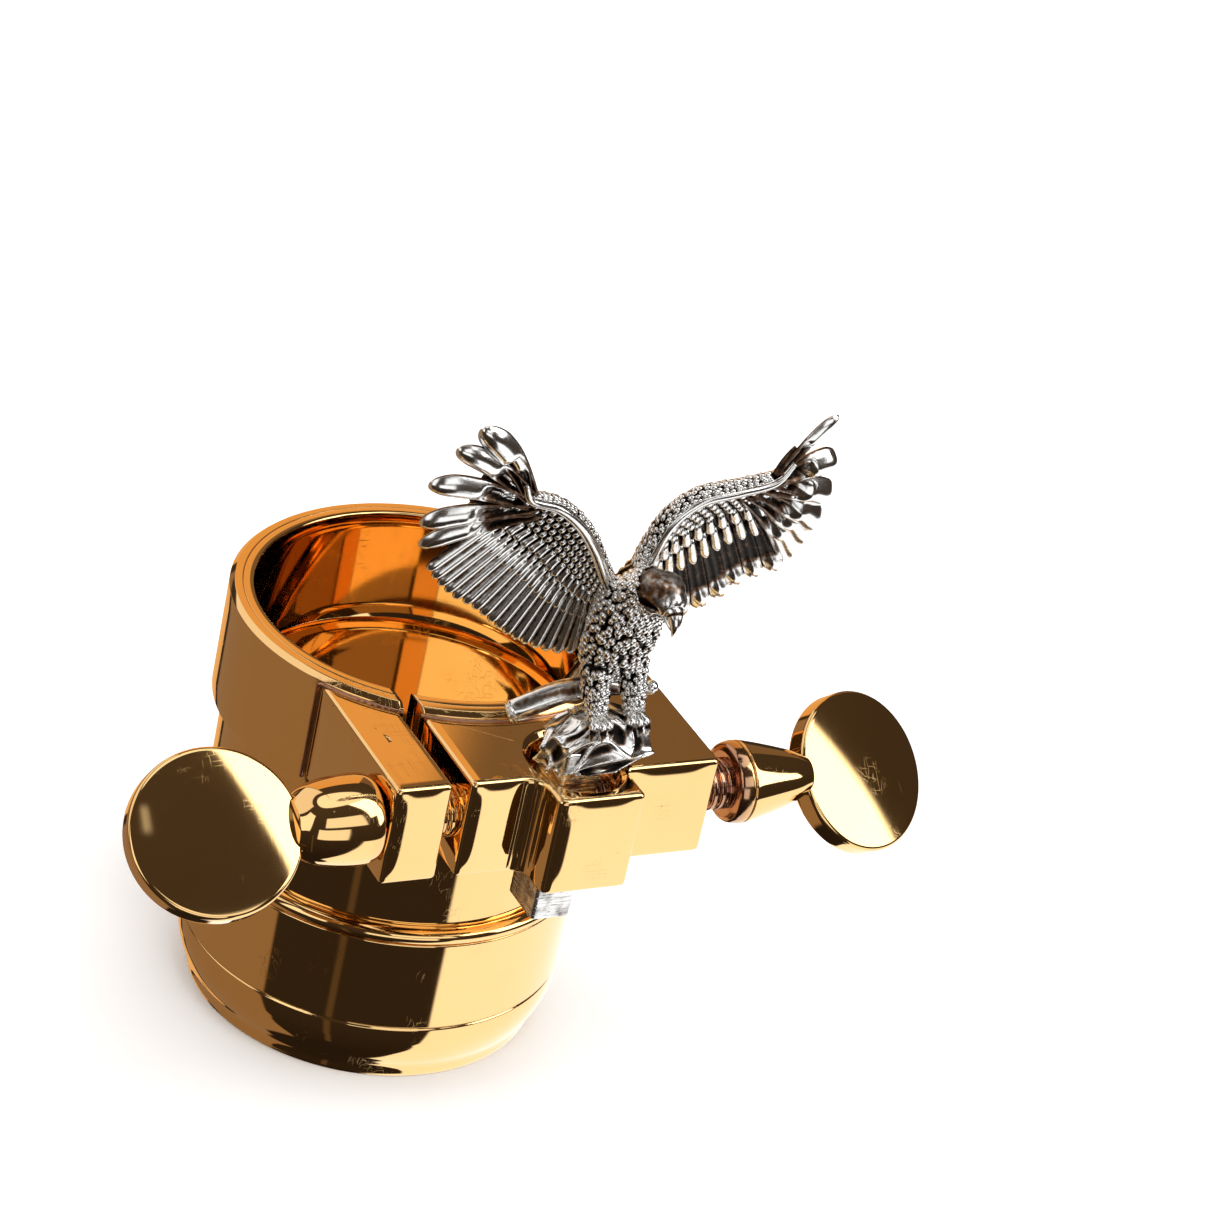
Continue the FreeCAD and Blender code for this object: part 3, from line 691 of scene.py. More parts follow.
class NECKCLAMP_OT_blocks(bpy.types.Operator):
    """Makes the two clamp blocks, with the lyre box and its socket, and their braze seams."""
    bl_idname = "neck_clamp.blocks"
    bl_label = "Clamp blocks"

    socket_middle = (2.1, -21.2)
    socket_radius = 3.2
    socket_stretch = 0.6
    box_sides = (-1.60, 5.72)
    box_depth = 3.32
    web_radius = 1.2

    @staticmethod
    def back(x):
        """Where a block ends inside the band, so that no gap shows."""
        return -math.sqrt((BAND_OUT - BITE) ** 2 - x ** 2)

    @classmethod
    def socket(cls, points, margin):
        """Where the ray from the socket's middle to each point meets the oblong grown by the margin:
        two half circles whose centres lie the stretch in front of and behind the middle."""
        middle = np.array(cls.socket_middle)
        ray = unit(points - middle)
        radius, stretch = cls.socket_radius + margin, cls.socket_stretch
        flat = radius / np.maximum(np.abs(ray[:, 0]), 1e-9)
        lean = stretch * np.abs(ray[:, 1])
        round_end = lean + np.sqrt(np.maximum(lean ** 2 + radius ** 2 - stretch ** 2, 0))
        reach = np.where(flat * np.abs(ray[:, 1]) <= stretch, flat, round_end)
        return middle + ray * reach[:, None]

    def execute(self, context):
        metal = block_brass()
        radius = context.scene.clamp_sizes.braze_radius / MM
        low, high = box("left_clamp_lug")
        corners = [(low[0], low[1]), (high[0], low[1]), (high[0], self.back(high[0])),
                   (low[0], self.back(low[0]))]
        points, along = outline(corners, [0.56, 0.56, 0.6, 0.6], step=0.3)
        lug = buffed_block(points, along, low[2], high[2])
        piece("left_clamp_lug_milled", lug, "collar", metal, ["left_clamp_lug"],
              weighted=True)
        seam = braze_seam(low[0], high[0], low[2], high[2], radius)

        low, high = box("right_clamp_block")
        front = low[1] + self.box_depth
        left, right = self.box_sides
        bend = np.linspace(0, math.pi / 2, 7)[1:-1]
        web = [(left - self.web_radius + self.web_radius * math.sin(b),
                front - self.web_radius * (1 - math.cos(b))) for b in bend]
        back = [(x, self.back(x)) for x in np.linspace(high[0], low[0], 24)]
        corners = [(low[0], front), (left - self.web_radius, front), *web, (left, front - self.web_radius),
                   (left, low[1]), (right, low[1]), (right, front), (high[0], front), *back]
        sharp = 0.01
        radii = [0.56, sharp, *[sharp] * len(web), sharp, 0.9, 0.56, 0.2, 0.56,
                 0.6, *[sharp] * (len(back) - 2), 0.6]
        points, along = outline(corners, radii, step=0.3)
        block = buffed_block(points, along, low[2], high[2], hole=self.socket)
        piece("right_clamp_block_milled", block, "collar", metal, ["right_clamp_block"],
              weighted=True)
        seam = joined(seam, braze_seam(high[0], low[0], low[2], high[2], radius))
        piece("braze_seams", seam, "collar", braze_metal())
        return {"FINISHED"}


# ---- the thumb screws ----------------------------------------------------------------------
def turned_on_x(profile, axis_place, around=72, relief=None):
    """An (x, radius) profile turned about a screw's axis."""
    profile = np.asarray(profile, float)
    angle = turn_through(around)
    x = profile[:, 0][:, None] + 0 * angle
    y = axis_place[1] + profile[:, 1][:, None] * np.cos(angle)
    z = axis_place[2] + profile[:, 1][:, None] * np.sin(angle)
    tint_and_shade = None if relief is None else np.asarray(relief)[None, :, None]
    return shells(np.stack([x, y, z], -1)[None], relief=tint_and_shade)


def thread(x_tip, x_end, radius, axis_place, tint_and_shade, around=48):
    """A helical thread: the radius falls and rises with the share of a turn between the place along
    the rod and the angle, so the crest climbs one pitch a turn. The ends taper."""
    sizes = bpy.context.scene.clamp_sizes
    pitch, depth = sizes.thread_pitch / MM, sizes.thread_depth / MM
    length = abs(x_end - x_tip)
    x = np.linspace(x_tip, x_end, int(length / pitch * 10))[:, None]
    angle = turn_through(around)[None]
    phase = np.mod(x / pitch - angle / (2 * math.pi), 1.0)
    groove = np.clip(1.15 - np.abs(2 * phase - 1) * 2.3, 0, 1)
    run = np.abs(x - x_tip)
    groove = groove * np.clip((length - run) / 1.2, 0, 1)
    lead = 0.45 * np.clip(1 - run / 0.45, 0, 1)
    ring_radius = radius - depth * groove - lead
    ring = np.stack([x + 0 * angle, axis_place[1] + ring_radius * np.cos(angle),
                     axis_place[2] + ring_radius * np.sin(angle)], -1)
    # Painted shade: the whole thread is darkened by its share, and its grooves are darkened more
    return shells(ring[None], relief=np.clip(tint_and_shade + 0.25 * groove, 0, 1)[None])


def thumb_piece(edge, outward, half_length, tilt, yaw):
    """An oval disc that meets the screw's axis at its edge and is turned about it by the yaw. From the
    middle out its face falls away with the square of the distance, then turns over a round rim and
    comes back the same way behind."""
    sizes = bpy.context.scene.clamp_sizes
    half_width, half = sizes.paddle_width / MM / 2, sizes.paddle_thickness / MM / 2
    crown, rim = sizes.paddle_crown / MM, 0.36
    drop = half - crown
    reach = np.linspace(0.004, 1, 30)
    face = np.stack([reach * (1 - rim / half_length), half - crown * reach ** 2], -1)
    turn = np.linspace(0, math.pi / 2, 8)[1:]
    over = np.stack([1 - rim / half_length * (1 - np.sin(turn)), drop - rim * (1 - np.cos(turn))], -1)
    wall = np.stack([np.ones(9), np.linspace(drop - rim, rim - drop, 9)], -1)[1:-1]
    front = np.vstack([face, over])
    profile = np.vstack([front, wall, front[::-1] * (1, -1)])
    angle = turn_through(128)
    normal = np.array([math.sin(yaw), -math.cos(tilt) * math.cos(yaw), math.sin(tilt) * math.cos(yaw)])
    along = np.array([math.cos(yaw), math.cos(tilt) * math.sin(yaw), -math.sin(tilt) * math.sin(yaw)])
    across = np.cross(normal, along)
    centre = edge + along * outward * half_length
    share, lift = profile[:, 0][:, None, None], profile[:, 1][:, None, None]
    ring = (centre + share * half_length * np.cos(angle)[None, :, None] * along
            + share * half_width * np.sin(angle)[None, :, None] * across + lift * normal)
    return shells(ring[None])


class NECKCLAMP_OT_screws(bpy.types.Operator):
    """Turns both thumb screws: barrel, helical thread and oval thumb piece."""
    bl_idname = "neck_clamp.screws"
    bl_label = "Thumb screws"

    shank_radius = 1.95
    # Of each screw: profile of the barrel from its seat, tilt and yaw of its thumb piece, heat tint and
    # painted shade of the barrel's rim, and painted shade of the thread.
    neck = ([(0, 2.3), (0.04, 2.75), (0.35, 3.2), (1.3, 3.38), (2.9, 3.28), (4.4, 3.0), (5.4, 2.6),
             (6.3, 1.9)],
            math.radians(47.0), math.radians(-6.3), 0.15, 0.2)
    lyre = ([(0, 2.1), (0.04, 2.55), (0.3, 2.98), (1.0, 3.16), (1.22, 3.12), (1.34, 3.04), (1.5, 3.14),
             (2.9, 2.85), (4.8, 2.35), (6.1, 1.95), (7.3, 1.4)],
            math.radians(43.8), math.radians(14.5), 0.9, 0.8)

    def screw(self, body, joint, direction, profile, tilt, yaw, tint_and_shade, thread_tint_and_shade):
        metal = screw_brass()
        seat = joint_place(joint)
        stem, paddle = body + "_stem", body + "_paddle"
        curve = smooth(profile, np.linspace(0, 1, 90))
        curve = np.vstack([[0, 0.02], curve, [curve[-1, 0], 0.02]])
        # Painted shade and painted reflection of the block, with some heat tint, on the barrel's end:
        # darkest at the seat, gone 1.25 mm along
        tint_and_shade_share = tint_and_shade * np.clip(1 - curve[:, 0] / 1.25, 0, 1) ** 0.5
        curve[:, 0] = seat[0] + direction * curve[:, 0]
        barrel = turned_on_x(curve, seat, relief=tint_and_shade_share)
        low, high = box(stem)
        tip = high[0] if direction < 0 else low[0]
        rod = thread(tip, seat[0] + direction * 0.6, self.shank_radius, seat, thread_tint_and_shade)
        piece(stem + "_turned", joined(barrel, rod), body, metal, [stem], weighted=True)
        low, high = box(paddle)
        half_length = ((high[0] - low[0]) / 2 - abs(math.sin(yaw)) * 1.1) / math.cos(yaw)
        edge_x = (low[0] + high[0]) / 2 - direction * half_length * math.cos(yaw)
        disc = thumb_piece(np.array([edge_x, seat[1], seat[2]]), direction, half_length, tilt, yaw)
        piece(paddle + "_crowned", disc, body, metal, [paddle])

    def execute(self, context):
        self.screw("neck_screw", "neck_screw_turn", -1, *self.neck)
        self.screw("lyre_screw", "lyre_screw_turn", 1, *self.lyre)
        return {"FINISHED"}


# ---- plumage -------------------------------------------------------------------------------
# A feather's style. Heights are shares of its half width: crown lifts the middle of the blade, cap the
# middle of the tip, rim the two edges and shaft the middle line. Waist is the root's share of the
# width, cap_from is where the tip begins and shoulder where its rounding does. Low is the relief of
# the blade and shine that of its heights.
SPOON = {"crown": -0.34, "cap": 0.72, "rim": 0.38, "shaft": 0.16, "waist": 0.60, "cap_from": 0.40,
         "shoulder": 0.78, "thick": 0.30, "low": 0.10, "shine": 0.42}
VANE = {"crown": 0.20, "cap": 0.85, "rim": 0.30, "shaft": 0.15, "waist": 0.90, "cap_from": 0.62,
        "shoulder": 0.84, "thick": 0.30, "low": 0.02, "shine": 0.40}
QUILL = {"crown": 0.80, "cap": 0.85, "rim": 0.0, "shaft": 0.0, "waist": 0.85, "cap_from": 0.80,
         "shoulder": 0.86, "thick": 0.30, "low": 0.0, "shine": 0.85}
COVERT = {"crown": 0.80, "cap": 0.95, "rim": 0.0, "shaft": -0.08, "waist": 0.75, "cap_from": 0.60,
          "shoulder": 0.76, "thick": 0.25, "low": 0.05, "shine": 0.95}
SCALE = {"crown": 0.60, "cap": 0.80, "rim": 0.0, "shaft": 0.0, "waist": 0.70, "cap_from": 0.35,
         "shoulder": 0.45, "thick": 0.30, "low": 0.02, "shine": 0.85}


def feathers(root, tip, facing, half_width, style, along=14, across=9, sweep=0.0, gain=1.0):
    """Closed blades from root to tip. Along each blade the width grows from its waist and closes over
    an elliptic tip; across it the front is a vault (1 - v squared) with its rims and shaft, which
    turns into the tip's own vault, and the back is a shallow vault. Relief follows the height."""
    root, tip = np.atleast_2d(root).astype(float), np.atleast_2d(tip).astype(float)
    facing = np.broadcast_to(np.asarray(facing, float), root.shape)
    half_width = np.broadcast_to(np.asarray(half_width, float), (len(root),))
    run = np.linalg.norm(tip - root, axis=1)
    ahead = unit(tip - root)
    side = unit(np.cross(ahead, facing))
    out = np.cross(side, ahead)
    u = np.sin(np.linspace(0, 1, along) * math.pi / 2) * FULL
    v = np.linspace(-1, 1, across)
    swell = style["waist"] + (1 - style["waist"]) * ease(u / 0.75)
    past = np.clip(u - style["shoulder"], 0, None) / (1 - style["shoulder"])
    near = ease((u - style["cap_from"]) / 0.2)[:, None]
    width = half_width[:, None] * swell * np.sqrt(1 - past ** 2)
    middle = (root[:, None] + (tip - root)[:, None] * u[:, None]
              + (side * (sweep * run)[:, None])[:, None] * (4 * u * (1 - u))[:, None])
    dome = 1 - v ** 2
    ridge = style["rim"] * bell(np.abs(v), 0.78, 0.2) + style["shaft"] * bell(v, 0.0, 0.14)
    shape = (style["crown"] * (1 - near) + style["cap"] * near) * dome + ridge * (1 - near)
    closing = np.sqrt(1 - past ** 2)[:, None]
    front = half_width[:, None, None] * shape * ease(u / 0.08)[:, None] * closing
    back = -half_width[:, None, None] * style["thick"] * (0.35 + 0.65 * dome) * closing
    line = np.concatenate([v, v[-2:0:-1]])
    height = np.concatenate([front, back[:, :, -2:0:-1]], -1)
    ring = (middle[:, :, None] + side[:, None, None] * (width[:, :, None] * line)[..., None]
            + out[:, None, None] * height[..., None])
    tall = (shape - shape.min()) / (shape.max() - shape.min())
    lit = style["low"] + style["shine"] * tall + 0.95 * near * dome ** 0.5
    behind = 0.15 + 0.5 * bell(v, 0, 0.35) + 0.6 * near
    relief = np.concatenate([lit, behind[:, -2:0:-1]], -1)[None] * np.reshape(gain, (-1, 1, 1))
    return shells(ring, relief=np.clip(relief, 0, 1) + np.zeros(ring.shape[:3]))


def loft(centres, side_radius, up_radius, side, along=60, around=48, bump=None, relief=0.0):
    """A closed body carried along a smooth centre line: ellipses square to it, whose radii follow the
    given values and are scaled by 1 + bump(share along, angle). Returns the shape and its frame."""
    t = np.linspace(0, 1, along)
    centre, a, b = smooth(centres, t), smooth(side_radius, t), smooth(up_radius, t)
    ahead = unit(np.gradient(centre, axis=0))
    side = np.broadcast_to(np.asarray(side, float), ahead.shape)
    side = unit(side - ahead * (side * ahead).sum(1, keepdims=True))
    up = np.cross(side, ahead)
    angle = turn_through(around)
    swell = np.ones((along, around)) if bump is None else 1 + bump(t[:, None], angle[None])
    ring = (centre[:, None] + (swell * a[:, None] * np.cos(angle))[..., None] * side[:, None]
            + (swell * b[:, None] * np.sin(angle))[..., None] * up[:, None])
    if callable(relief):
        relief = relief(t[:, None], angle[None])[None]
    return shells(ring[None], relief=relief), ring


def ball(centre, radius, side, around, relief):
    """A sphere lofted along x."""
    turn = np.linspace(-math.pi / 2, math.pi / 2, 13)
    centres = centre + np.stack([radius * np.sin(turn), 0 * turn, 0 * turn], -1)
    size = radius * np.maximum(np.cos(turn), 0.02)
    return loft(centres, size, size, side, along=25, around=around, relief=relief)[0]


def plumed(ring, rows, around, half_width, length, start, stop, jitter, lift=0.05):
    """Staggered rows of small feathers over a lofted grid. Each starts at a share of the way along,
    runs on by its length and faces away from the grid's own middle line. Jitter shifts, turns,
    resizes and dulls them by seeded chance."""
    chance = np.random.default_rng(rows * 1000 + around)
    steps, columns = ring.shape[:2]
    at = np.linspace(start, stop, rows)[:, None]
    column = (np.arange(around)[None] + 0.5 * (np.arange(rows)[:, None] % 2)) / around
    at = np.broadcast_to(at, column.shape).ravel()
    column = column.ravel()
    shift = chance.uniform(-1, 1, (4, len(at))) * jitter
    at = np.clip(at + shift[0] * (stop - start) / max(rows - 1, 1) * 0.8, 0, 0.97)
    column = column + shift[1] / around * 0.7

    def surface(share, turn):
        i = np.clip(share, 0, 1) * (steps - 1)
        j = np.mod(turn, 1.0) * columns
        i0 = np.minimum(i.astype(int), steps - 2)
        j0 = j.astype(int) % columns
        di, dj = (i - i0)[:, None], (j - np.floor(j))[:, None]
        j1 = (j0 + 1) % columns
        return ((ring[i0, j0] * (1 - di) + ring[i0 + 1, j0] * di) * (1 - dj)
                + (ring[i0, j1] * (1 - di) + ring[i0 + 1, j1] * di) * dj)

    root, beyond = surface(at, column), surface(at + 0.03, column + shift[2] * 0.02)
    away = unit(root - smooth(ring.mean(1), at))
    ahead = unit(beyond - root)
    size = (1 + shift[3] * 0.8)[:, None]
    tip = root + ahead * length * size + away * lift * (2 + 2 * shift[2][:, None])
    return feathers(root - away * lift, tip, away, half_width * size[:, 0], SCALE, along=7, across=5,
                    gain=1 - np.abs(shift[0] + shift[1]) * 0.6)


def wing_surface(wing, share, down):
    """A point of a wing: from the arm to the rear edge at a share of the span, 0 at the body, hollowed
    by the cup. Also gives the way that the hollow side faces."""
    edge_chain = place(wing["node"], wing["trailing"][::-1] + wing["primaries"][::-1])
    arm_chain = place(wing["node"], wing["arm"])
    share, down = np.asarray(share, float), np.asarray(down, float)
    arm = evenly(arm_chain, np.minimum(1, share / ARM_SPAN))
    edge = evenly(edge_chain, share)
    drift = evenly(edge_chain, np.minimum(1, share + 0.02)) - evenly(edge_chain, np.maximum(0, share - 0.02))
    facing = unit(np.cross(drift, arm - edge))
    facing = facing * -np.sign(facing[..., 1:2])
    cup = bpy.context.scene.bird_sizes.wing_cup / MM
    return arm + (edge - arm) * down[..., None] - facing * cup * (4 * down * (1 - down))[..., None], facing


def wing_row(wing, count, start, stop, roots, tips, half_width, style, lift, along, across, back=False):
    """One row of feathers over a stretch of the span, on the hollow side or on the back."""
    share = np.linspace(start, stop, count)
    root, facing = wing_surface(wing, share, np.full(count, roots))
    tip, _ = wing_surface(wing, share, np.full(count, tips))
    turn = -1 if back else 1
    return feathers(root + facing * lift * 0.6 * turn, tip + facing * lift * turn, facing * turn, half_width,
                    style, along, across)


# Places are shares of each wing's box. Inner is the share of the span that the secondaries take.
RIGHT_WING = {
    "node": "eagle_right_wing",
    "arm": [(0.99, 0.52, 0.32), (0.95, 0.49, 0.36), (0.84, 0.39, 0.49), (0.72, 0.30, 0.60),
            (0.60, 0.27, 0.67), (0.47, 0.30, 0.70)],
    "primaries": [(0.28, 0.11, 0.92), (0.14, 0.08, 0.995), (0.07, 0.19, 0.91), (0.01, 0.37, 0.76),
                  (0.04, 0.55, 0.59), (0.08, 0.66, 0.49)],
    "trailing": [(0.17, 0.75, 0.38), (0.30, 0.82, 0.28), (0.43, 0.83, 0.22), (0.67, 0.91, 0.08),
                 (0.91, 0.92, 0.01), (1.10, 0.84, 0.03)],
    "primary_widths": [0.52, 1.05, 0.98, 1.08, 1.05, 0.9],
    "sweep": 0.05, "inner": 0.51, "long": (19, 0.54), "second": (19, 0.40), "third": (17, 0.42),
    "bead": (17, 0.33), "vane": QUILL, "edge": 0.30,
}
LEFT_WING = {
    "node": "eagle_left_wing",
    "arm": [(-0.02, 0.29, 0.39), (0.0, 0.26, 0.48), (0.05, 0.20, 0.60), (0.17, 0.16, 0.68),
            (0.34, 0.13, 0.71), (0.54, 0.13, 0.74)],
    "primaries": [(0.80, 0.07, 0.99), (0.89, 0.20, 0.80), (0.97, 0.39, 0.61), (0.99, 0.52, 0.46),
                  (0.98, 0.61, 0.38), (0.96, 0.70, 0.30)],
    "trailing": [(0.92, 0.78, 0.25), (0.76, 0.87, 0.19), (0.65, 0.94, 0.10), (0.45, 0.95, 0.04),
                 (0.18, 0.90, 0.02), (-0.06, 0.82, 0.04)],
    "primary_widths": [0.65, 1.35, 1.35, 1.3, 1.2, 1.1],
    "sweep": -0.05, "inner": 0.48, "long": (11, 0.80), "second": (15, 0.45), "third": (14, 0.44),
    "bead": (15, 0.36), "vane": VANE, "edge": 0.44,
}


class NECKCLAMP_OT_wings(bpy.types.Operator):
    """Feathers both wings: web, arm, primaries, secondaries and the covert rows on both sides."""
    bl_idname = "neck_clamp.wings"
    bl_label = "Wings"

    def web(self, wing):
        """The wing's own thickness: the hollow surface from arm to near the rear edge and its back."""
        share, down = np.meshgrid(np.linspace(0.0, 0.97, 60), np.linspace(0.0, 0.8, 24), indexing="ij")
        reach = down * (1 - 0.42 * ease((share - wing["inner"]) / 0.15))
        point, facing = wing_surface(wing, share, reach)
        half = (0.30 - 0.18 * down)[..., None]
        ring = np.concatenate([point + facing * half, (point - facing * half)[:, ::-1]], 1)
        return shells(ring[None], relief=0.2)

    def arm(self, wing):
        """The polished leading bar, a fluted tube along the arm that runs on into the first primary,
        and behind and above it the rounder edge that carries the scales."""
        chain = place(wing["node"], wing["arm"])
        first = place(wing["node"], wing["primaries"][0])
        ahead = np.vstack([chain, chain[-1] + (first - chain[-1]) * 0.3])

        def groove(t, a, width):
            """Two lines along the bar, to either side of its front."""
            return bell(np.abs(np.mod(a + math.pi, 2 * math.pi) - math.pi), 0.9, width) + 0 * t

        bar, _ = loft(ahead + (0, -0.42, 0.0), [0.40, 0.44, 0.42, 0.40, 0.36, 0.26],
                      [0.42, 0.46, 0.42, 0.38, 0.32, 0.2], (0, -1, 0.3), along=80, around=28,
                      bump=lambda t, a: -0.2 * groove(t, a, 0.22),
                      relief=lambda t, a: np.clip(0.95 - 0.8 * groove(t, a, 0.25), 0, 1))
        middle = place(wing["node"], wing["trailing"][2])
        size = wing["edge"]
        outward = unit(chain - middle) * size * 0.95
        radius = np.array([1.1, 1.15, 1.1, 1.0, 0.85, 0.5]) * size
        edge, ring = loft(chain + outward + (0, 0.12, 0), radius, radius, (0, -1, 0.3), along=60, around=24,
                          relief=0.15)
        scales = plumed(ring, 30, 10, 0.24, 0.6, 0.0, 0.95, jitter=0.25)
        return joined(edge, scales), bar

    def primaries(self, wing):
        """The long outer feathers, from the wrist to their own tips."""
        tips = place(wing["node"], wing["primaries"])
        wrist = place(wing["node"], wing["arm"][-1])
        inner = place(wing["node"], wing["arm"][-3])
        spread = np.linspace(0, 1, len(tips))[:, None]
        roots = wrist + (inner - wrist) * spread * 0.4 + (tips - wrist) * 0.08
        _, facing = wing_surface(wing, np.linspace(0.98, 0.6, len(tips)), np.full(len(tips), 0.5))
        return feathers(roots + facing * 0.2, tips, facing, wing["primary_widths"], SPOON, along=36,
                        across=21, sweep=wing["sweep"])

    def plume(self, wing, side):
        name = "eagle_" + side + "_wing"
        inner = wing["inner"]
        edge, bar = self.arm(wing)
        (long_count, long_half), (second_count, second_half) = wing["long"], wing["second"]
        (third_count, third_half), (bead_count, bead_half) = wing["third"], wing["bead"]
        long_row = wing_row(wing, long_count, 0.01, inner, 0.46, 1.0, long_half, wing["vane"], 0.24, 24, 13)
        second = wing_row(wing, second_count, 0.01, inner + 0.02, 0.40, 0.62, second_half, COVERT, 0.42,
                          14, 9)
        third = wing_row(wing, third_count, 0.01, inner + 0.02, 0.27, 0.41, third_half, COVERT, 0.46, 12, 7)
        knuckles = wing_row(wing, 8, inner + 0.05, 0.86, 0.12, 0.30, 0.40, COVERT, 0.40, 12, 7)
        beads = [wing_row(wing, bead_count + k, 0.01, inner + 0.06, 0.02 + 0.062 * k, 0.085 + 0.062 * k,
                          bead_half, SCALE, 0.40 + 0.02 * k, 7, 5) for k in range(4)]
        for part, shape in (("_web", self.web(wing)), ("_edge", edge), ("_bar", bar)):
            cast(name + part, shape)
        cast(name + "_primaries", self.primaries(wing), wing["node"])
        for part, shape in (("_secondaries", long_row), ("_coverts", joined(second, third, knuckles)),
                            ("_lesser_coverts", joined(*beads))):
            cast(name + part, shape)
        rows = ((20, inner, 0.42, 0.72, 0.42, COVERT, 0.30, 12, 7),
                (22, 0.72, 0.26, 0.50, 0.42, COVERT, 0.38, 12, 7),
                (22, 0.80, 0.12, 0.32, 0.40, COVERT, 0.40, 10, 7),
                (24, 0.80, 0.02, 0.17, 0.34, SCALE, 0.42, 8, 5))
        behind = [wing_row(wing, count, 0.01, *row, back=True) for count, *row in rows]
        cast(name + "_back_coverts", joined(*behind))

    def execute(self, context):
        self.plume(RIGHT_WING, "right")
        self.plume(LEFT_WING, "left")
        return {"FINISHED"}


class NECKCLAMP_OT_body(bpy.types.Operator):
    """Makes the torso, the legs, the talons and the tail."""
    bl_idname = "neck_clamp.body"
    bl_label = "Body, legs and tail"

    torso = [(0.48, 0.84, 0.06), (0.48, 0.72, 0.22), (0.49, 0.60, 0.45), (0.50, 0.50, 0.69),
             (0.53, 0.38, 0.87), (0.60, 0.22, 0.99)]
    torso_side = [0.15, 0.34, 0.44, 0.44, 0.35, 0.25]
    torso_deep = [0.12, 0.26, 0.37, 0.38, 0.33, 0.26]

    def body(self):
        low, high = box("eagle_body")
        wide, deep = high[0] - low[0], high[1] - low[1]
        centres = place("eagle_body", self.torso)[::-1]
        shape, ring = loft(centres, np.array(self.torso_side[::-1]) * wide,
                           np.array(self.torso_deep[::-1]) * deep, (1, 0, 0), along=70, around=64,
                           relief=0.05)
        half = bpy.context.scene.bird_sizes.scale_width / MM / 2
        cover = plumed(ring, 21, 25, half * 1.12, 0.66, 0.0, 0.93, jitter=0.38)
        cast("eagle_torso", joined(shape, cover), "eagle_body")

    def leg(self, node_name):
        """A feathered thigh and shank, then a foot with three toes forward and one behind."""
        hip = place(node_name, (0.38, 0.62, 1.14))
        foot = place(node_name, (0.62, 0.42, 0.22))
        knee = hip + (foot - hip) * (0.42, 0.1, 0.42)
        ankle = hip + (foot - hip) * (0.85, 0.7, 0.78)
        shape, ring = loft([hip, knee, ankle, foot], [0.85, 0.85, 0.62, 0.5], [1.05, 0.95, 0.66, 0.55],
                           (1, 0, 0), along=40, around=36, relief=0.05)
        cover = plumed(ring, 11, 13, 0.32, 0.6, 0.0, 0.86, jitter=0.35)
        toes = [self.toe(foot, angle, 1.45) for angle in (-0.55, 0.0, 0.55)] + [self.toe(foot, math.pi, 0.9)]
        name = node_name.replace("_leg", "")
        cast(name + "_leg_feathered", joined(shape, cover), node_name)
        cast(name + "_talons", joined(*toes))

    @staticmethod
    def toe(foot, angle, reach):
        """A clenched toe: a tube over two knuckles that ends in a claw turned down into the rock."""
        ahead = np.array([math.sin(angle), -math.cos(angle), 0.0])
        down = np.array([0.0, 0.0, -1.0])
        path = [foot, foot + ahead * reach * 0.35 + down * -0.12, foot + ahead * reach * 0.75 + down * 0.12,
                foot + ahead * reach * 1.0 + down * 0.6, foot + ahead * reach * 0.98 + down * 1.15]

        def knuckle(t, a):
            return 0.22 * bell(t, 0.25, 0.08) + 0.22 * bell(t, 0.5, 0.08) - 0.25 * bell(t, 0.68, 0.04)

        def shine(t, a):
            worn = 0.7 + 0.3 * np.sin(a) + 0.4 * bell(t, 0.5, 0.1)
            return np.clip(worn - 0.6 * bell(t, 0.68, 0.05), 0, 1)

        return loft(path, [0.30, 0.34, 0.32, 0.26, 0.05], [0.30, 0.34, 0.32, 0.26, 0.05],
                    (math.cos(angle), math.sin(angle), 0), along=28, around=14, bump=knuckle,
                    relief=shine)[0]

    def tail(self):
        """Seven quills spread from under the back, with a row of coverts over their roots."""
        low, high = box("eagle_tail")
        middle = (low[0] + high[0]) / 2
        spread = np.linspace(-1, 1, 7)
        root = np.stack([middle + spread * 0.6, np.full(7, low[1] + 0.55), np.full(7, high[2] - 0.1)], -1)
        tip = np.stack([middle + spread * 0.8, high[1] - 0.5 - 0.3 * spread ** 2,
                        low[2] + 0.05 + 0.5 * spread ** 2], -1)
        facing = unit(np.array([0.0, -1.0, -0.75]))
        tip[:, 1] += 0.12 * np.abs(spread)
        front = feathers(root, tip, facing, 0.34, QUILL, along=22, across=13)
        back = feathers(root - facing * 0.1, tip - facing * 0.12, -facing, 0.34, QUILL, along=22, across=13)
        half_way = root + (tip - root) * 0.48
        cover = feathers(root - facing * 0.3, half_way - facing * 0.36, -facing, 0.38, COVERT)
        cast("eagle_tail_fan", joined(front, back, cover), "eagle_tail")

    def execute(self, context):
        self.body()
        self.leg("eagle_right_leg")
        self.leg("eagle_left_leg")
        self.tail()
        return {"FINISHED"}


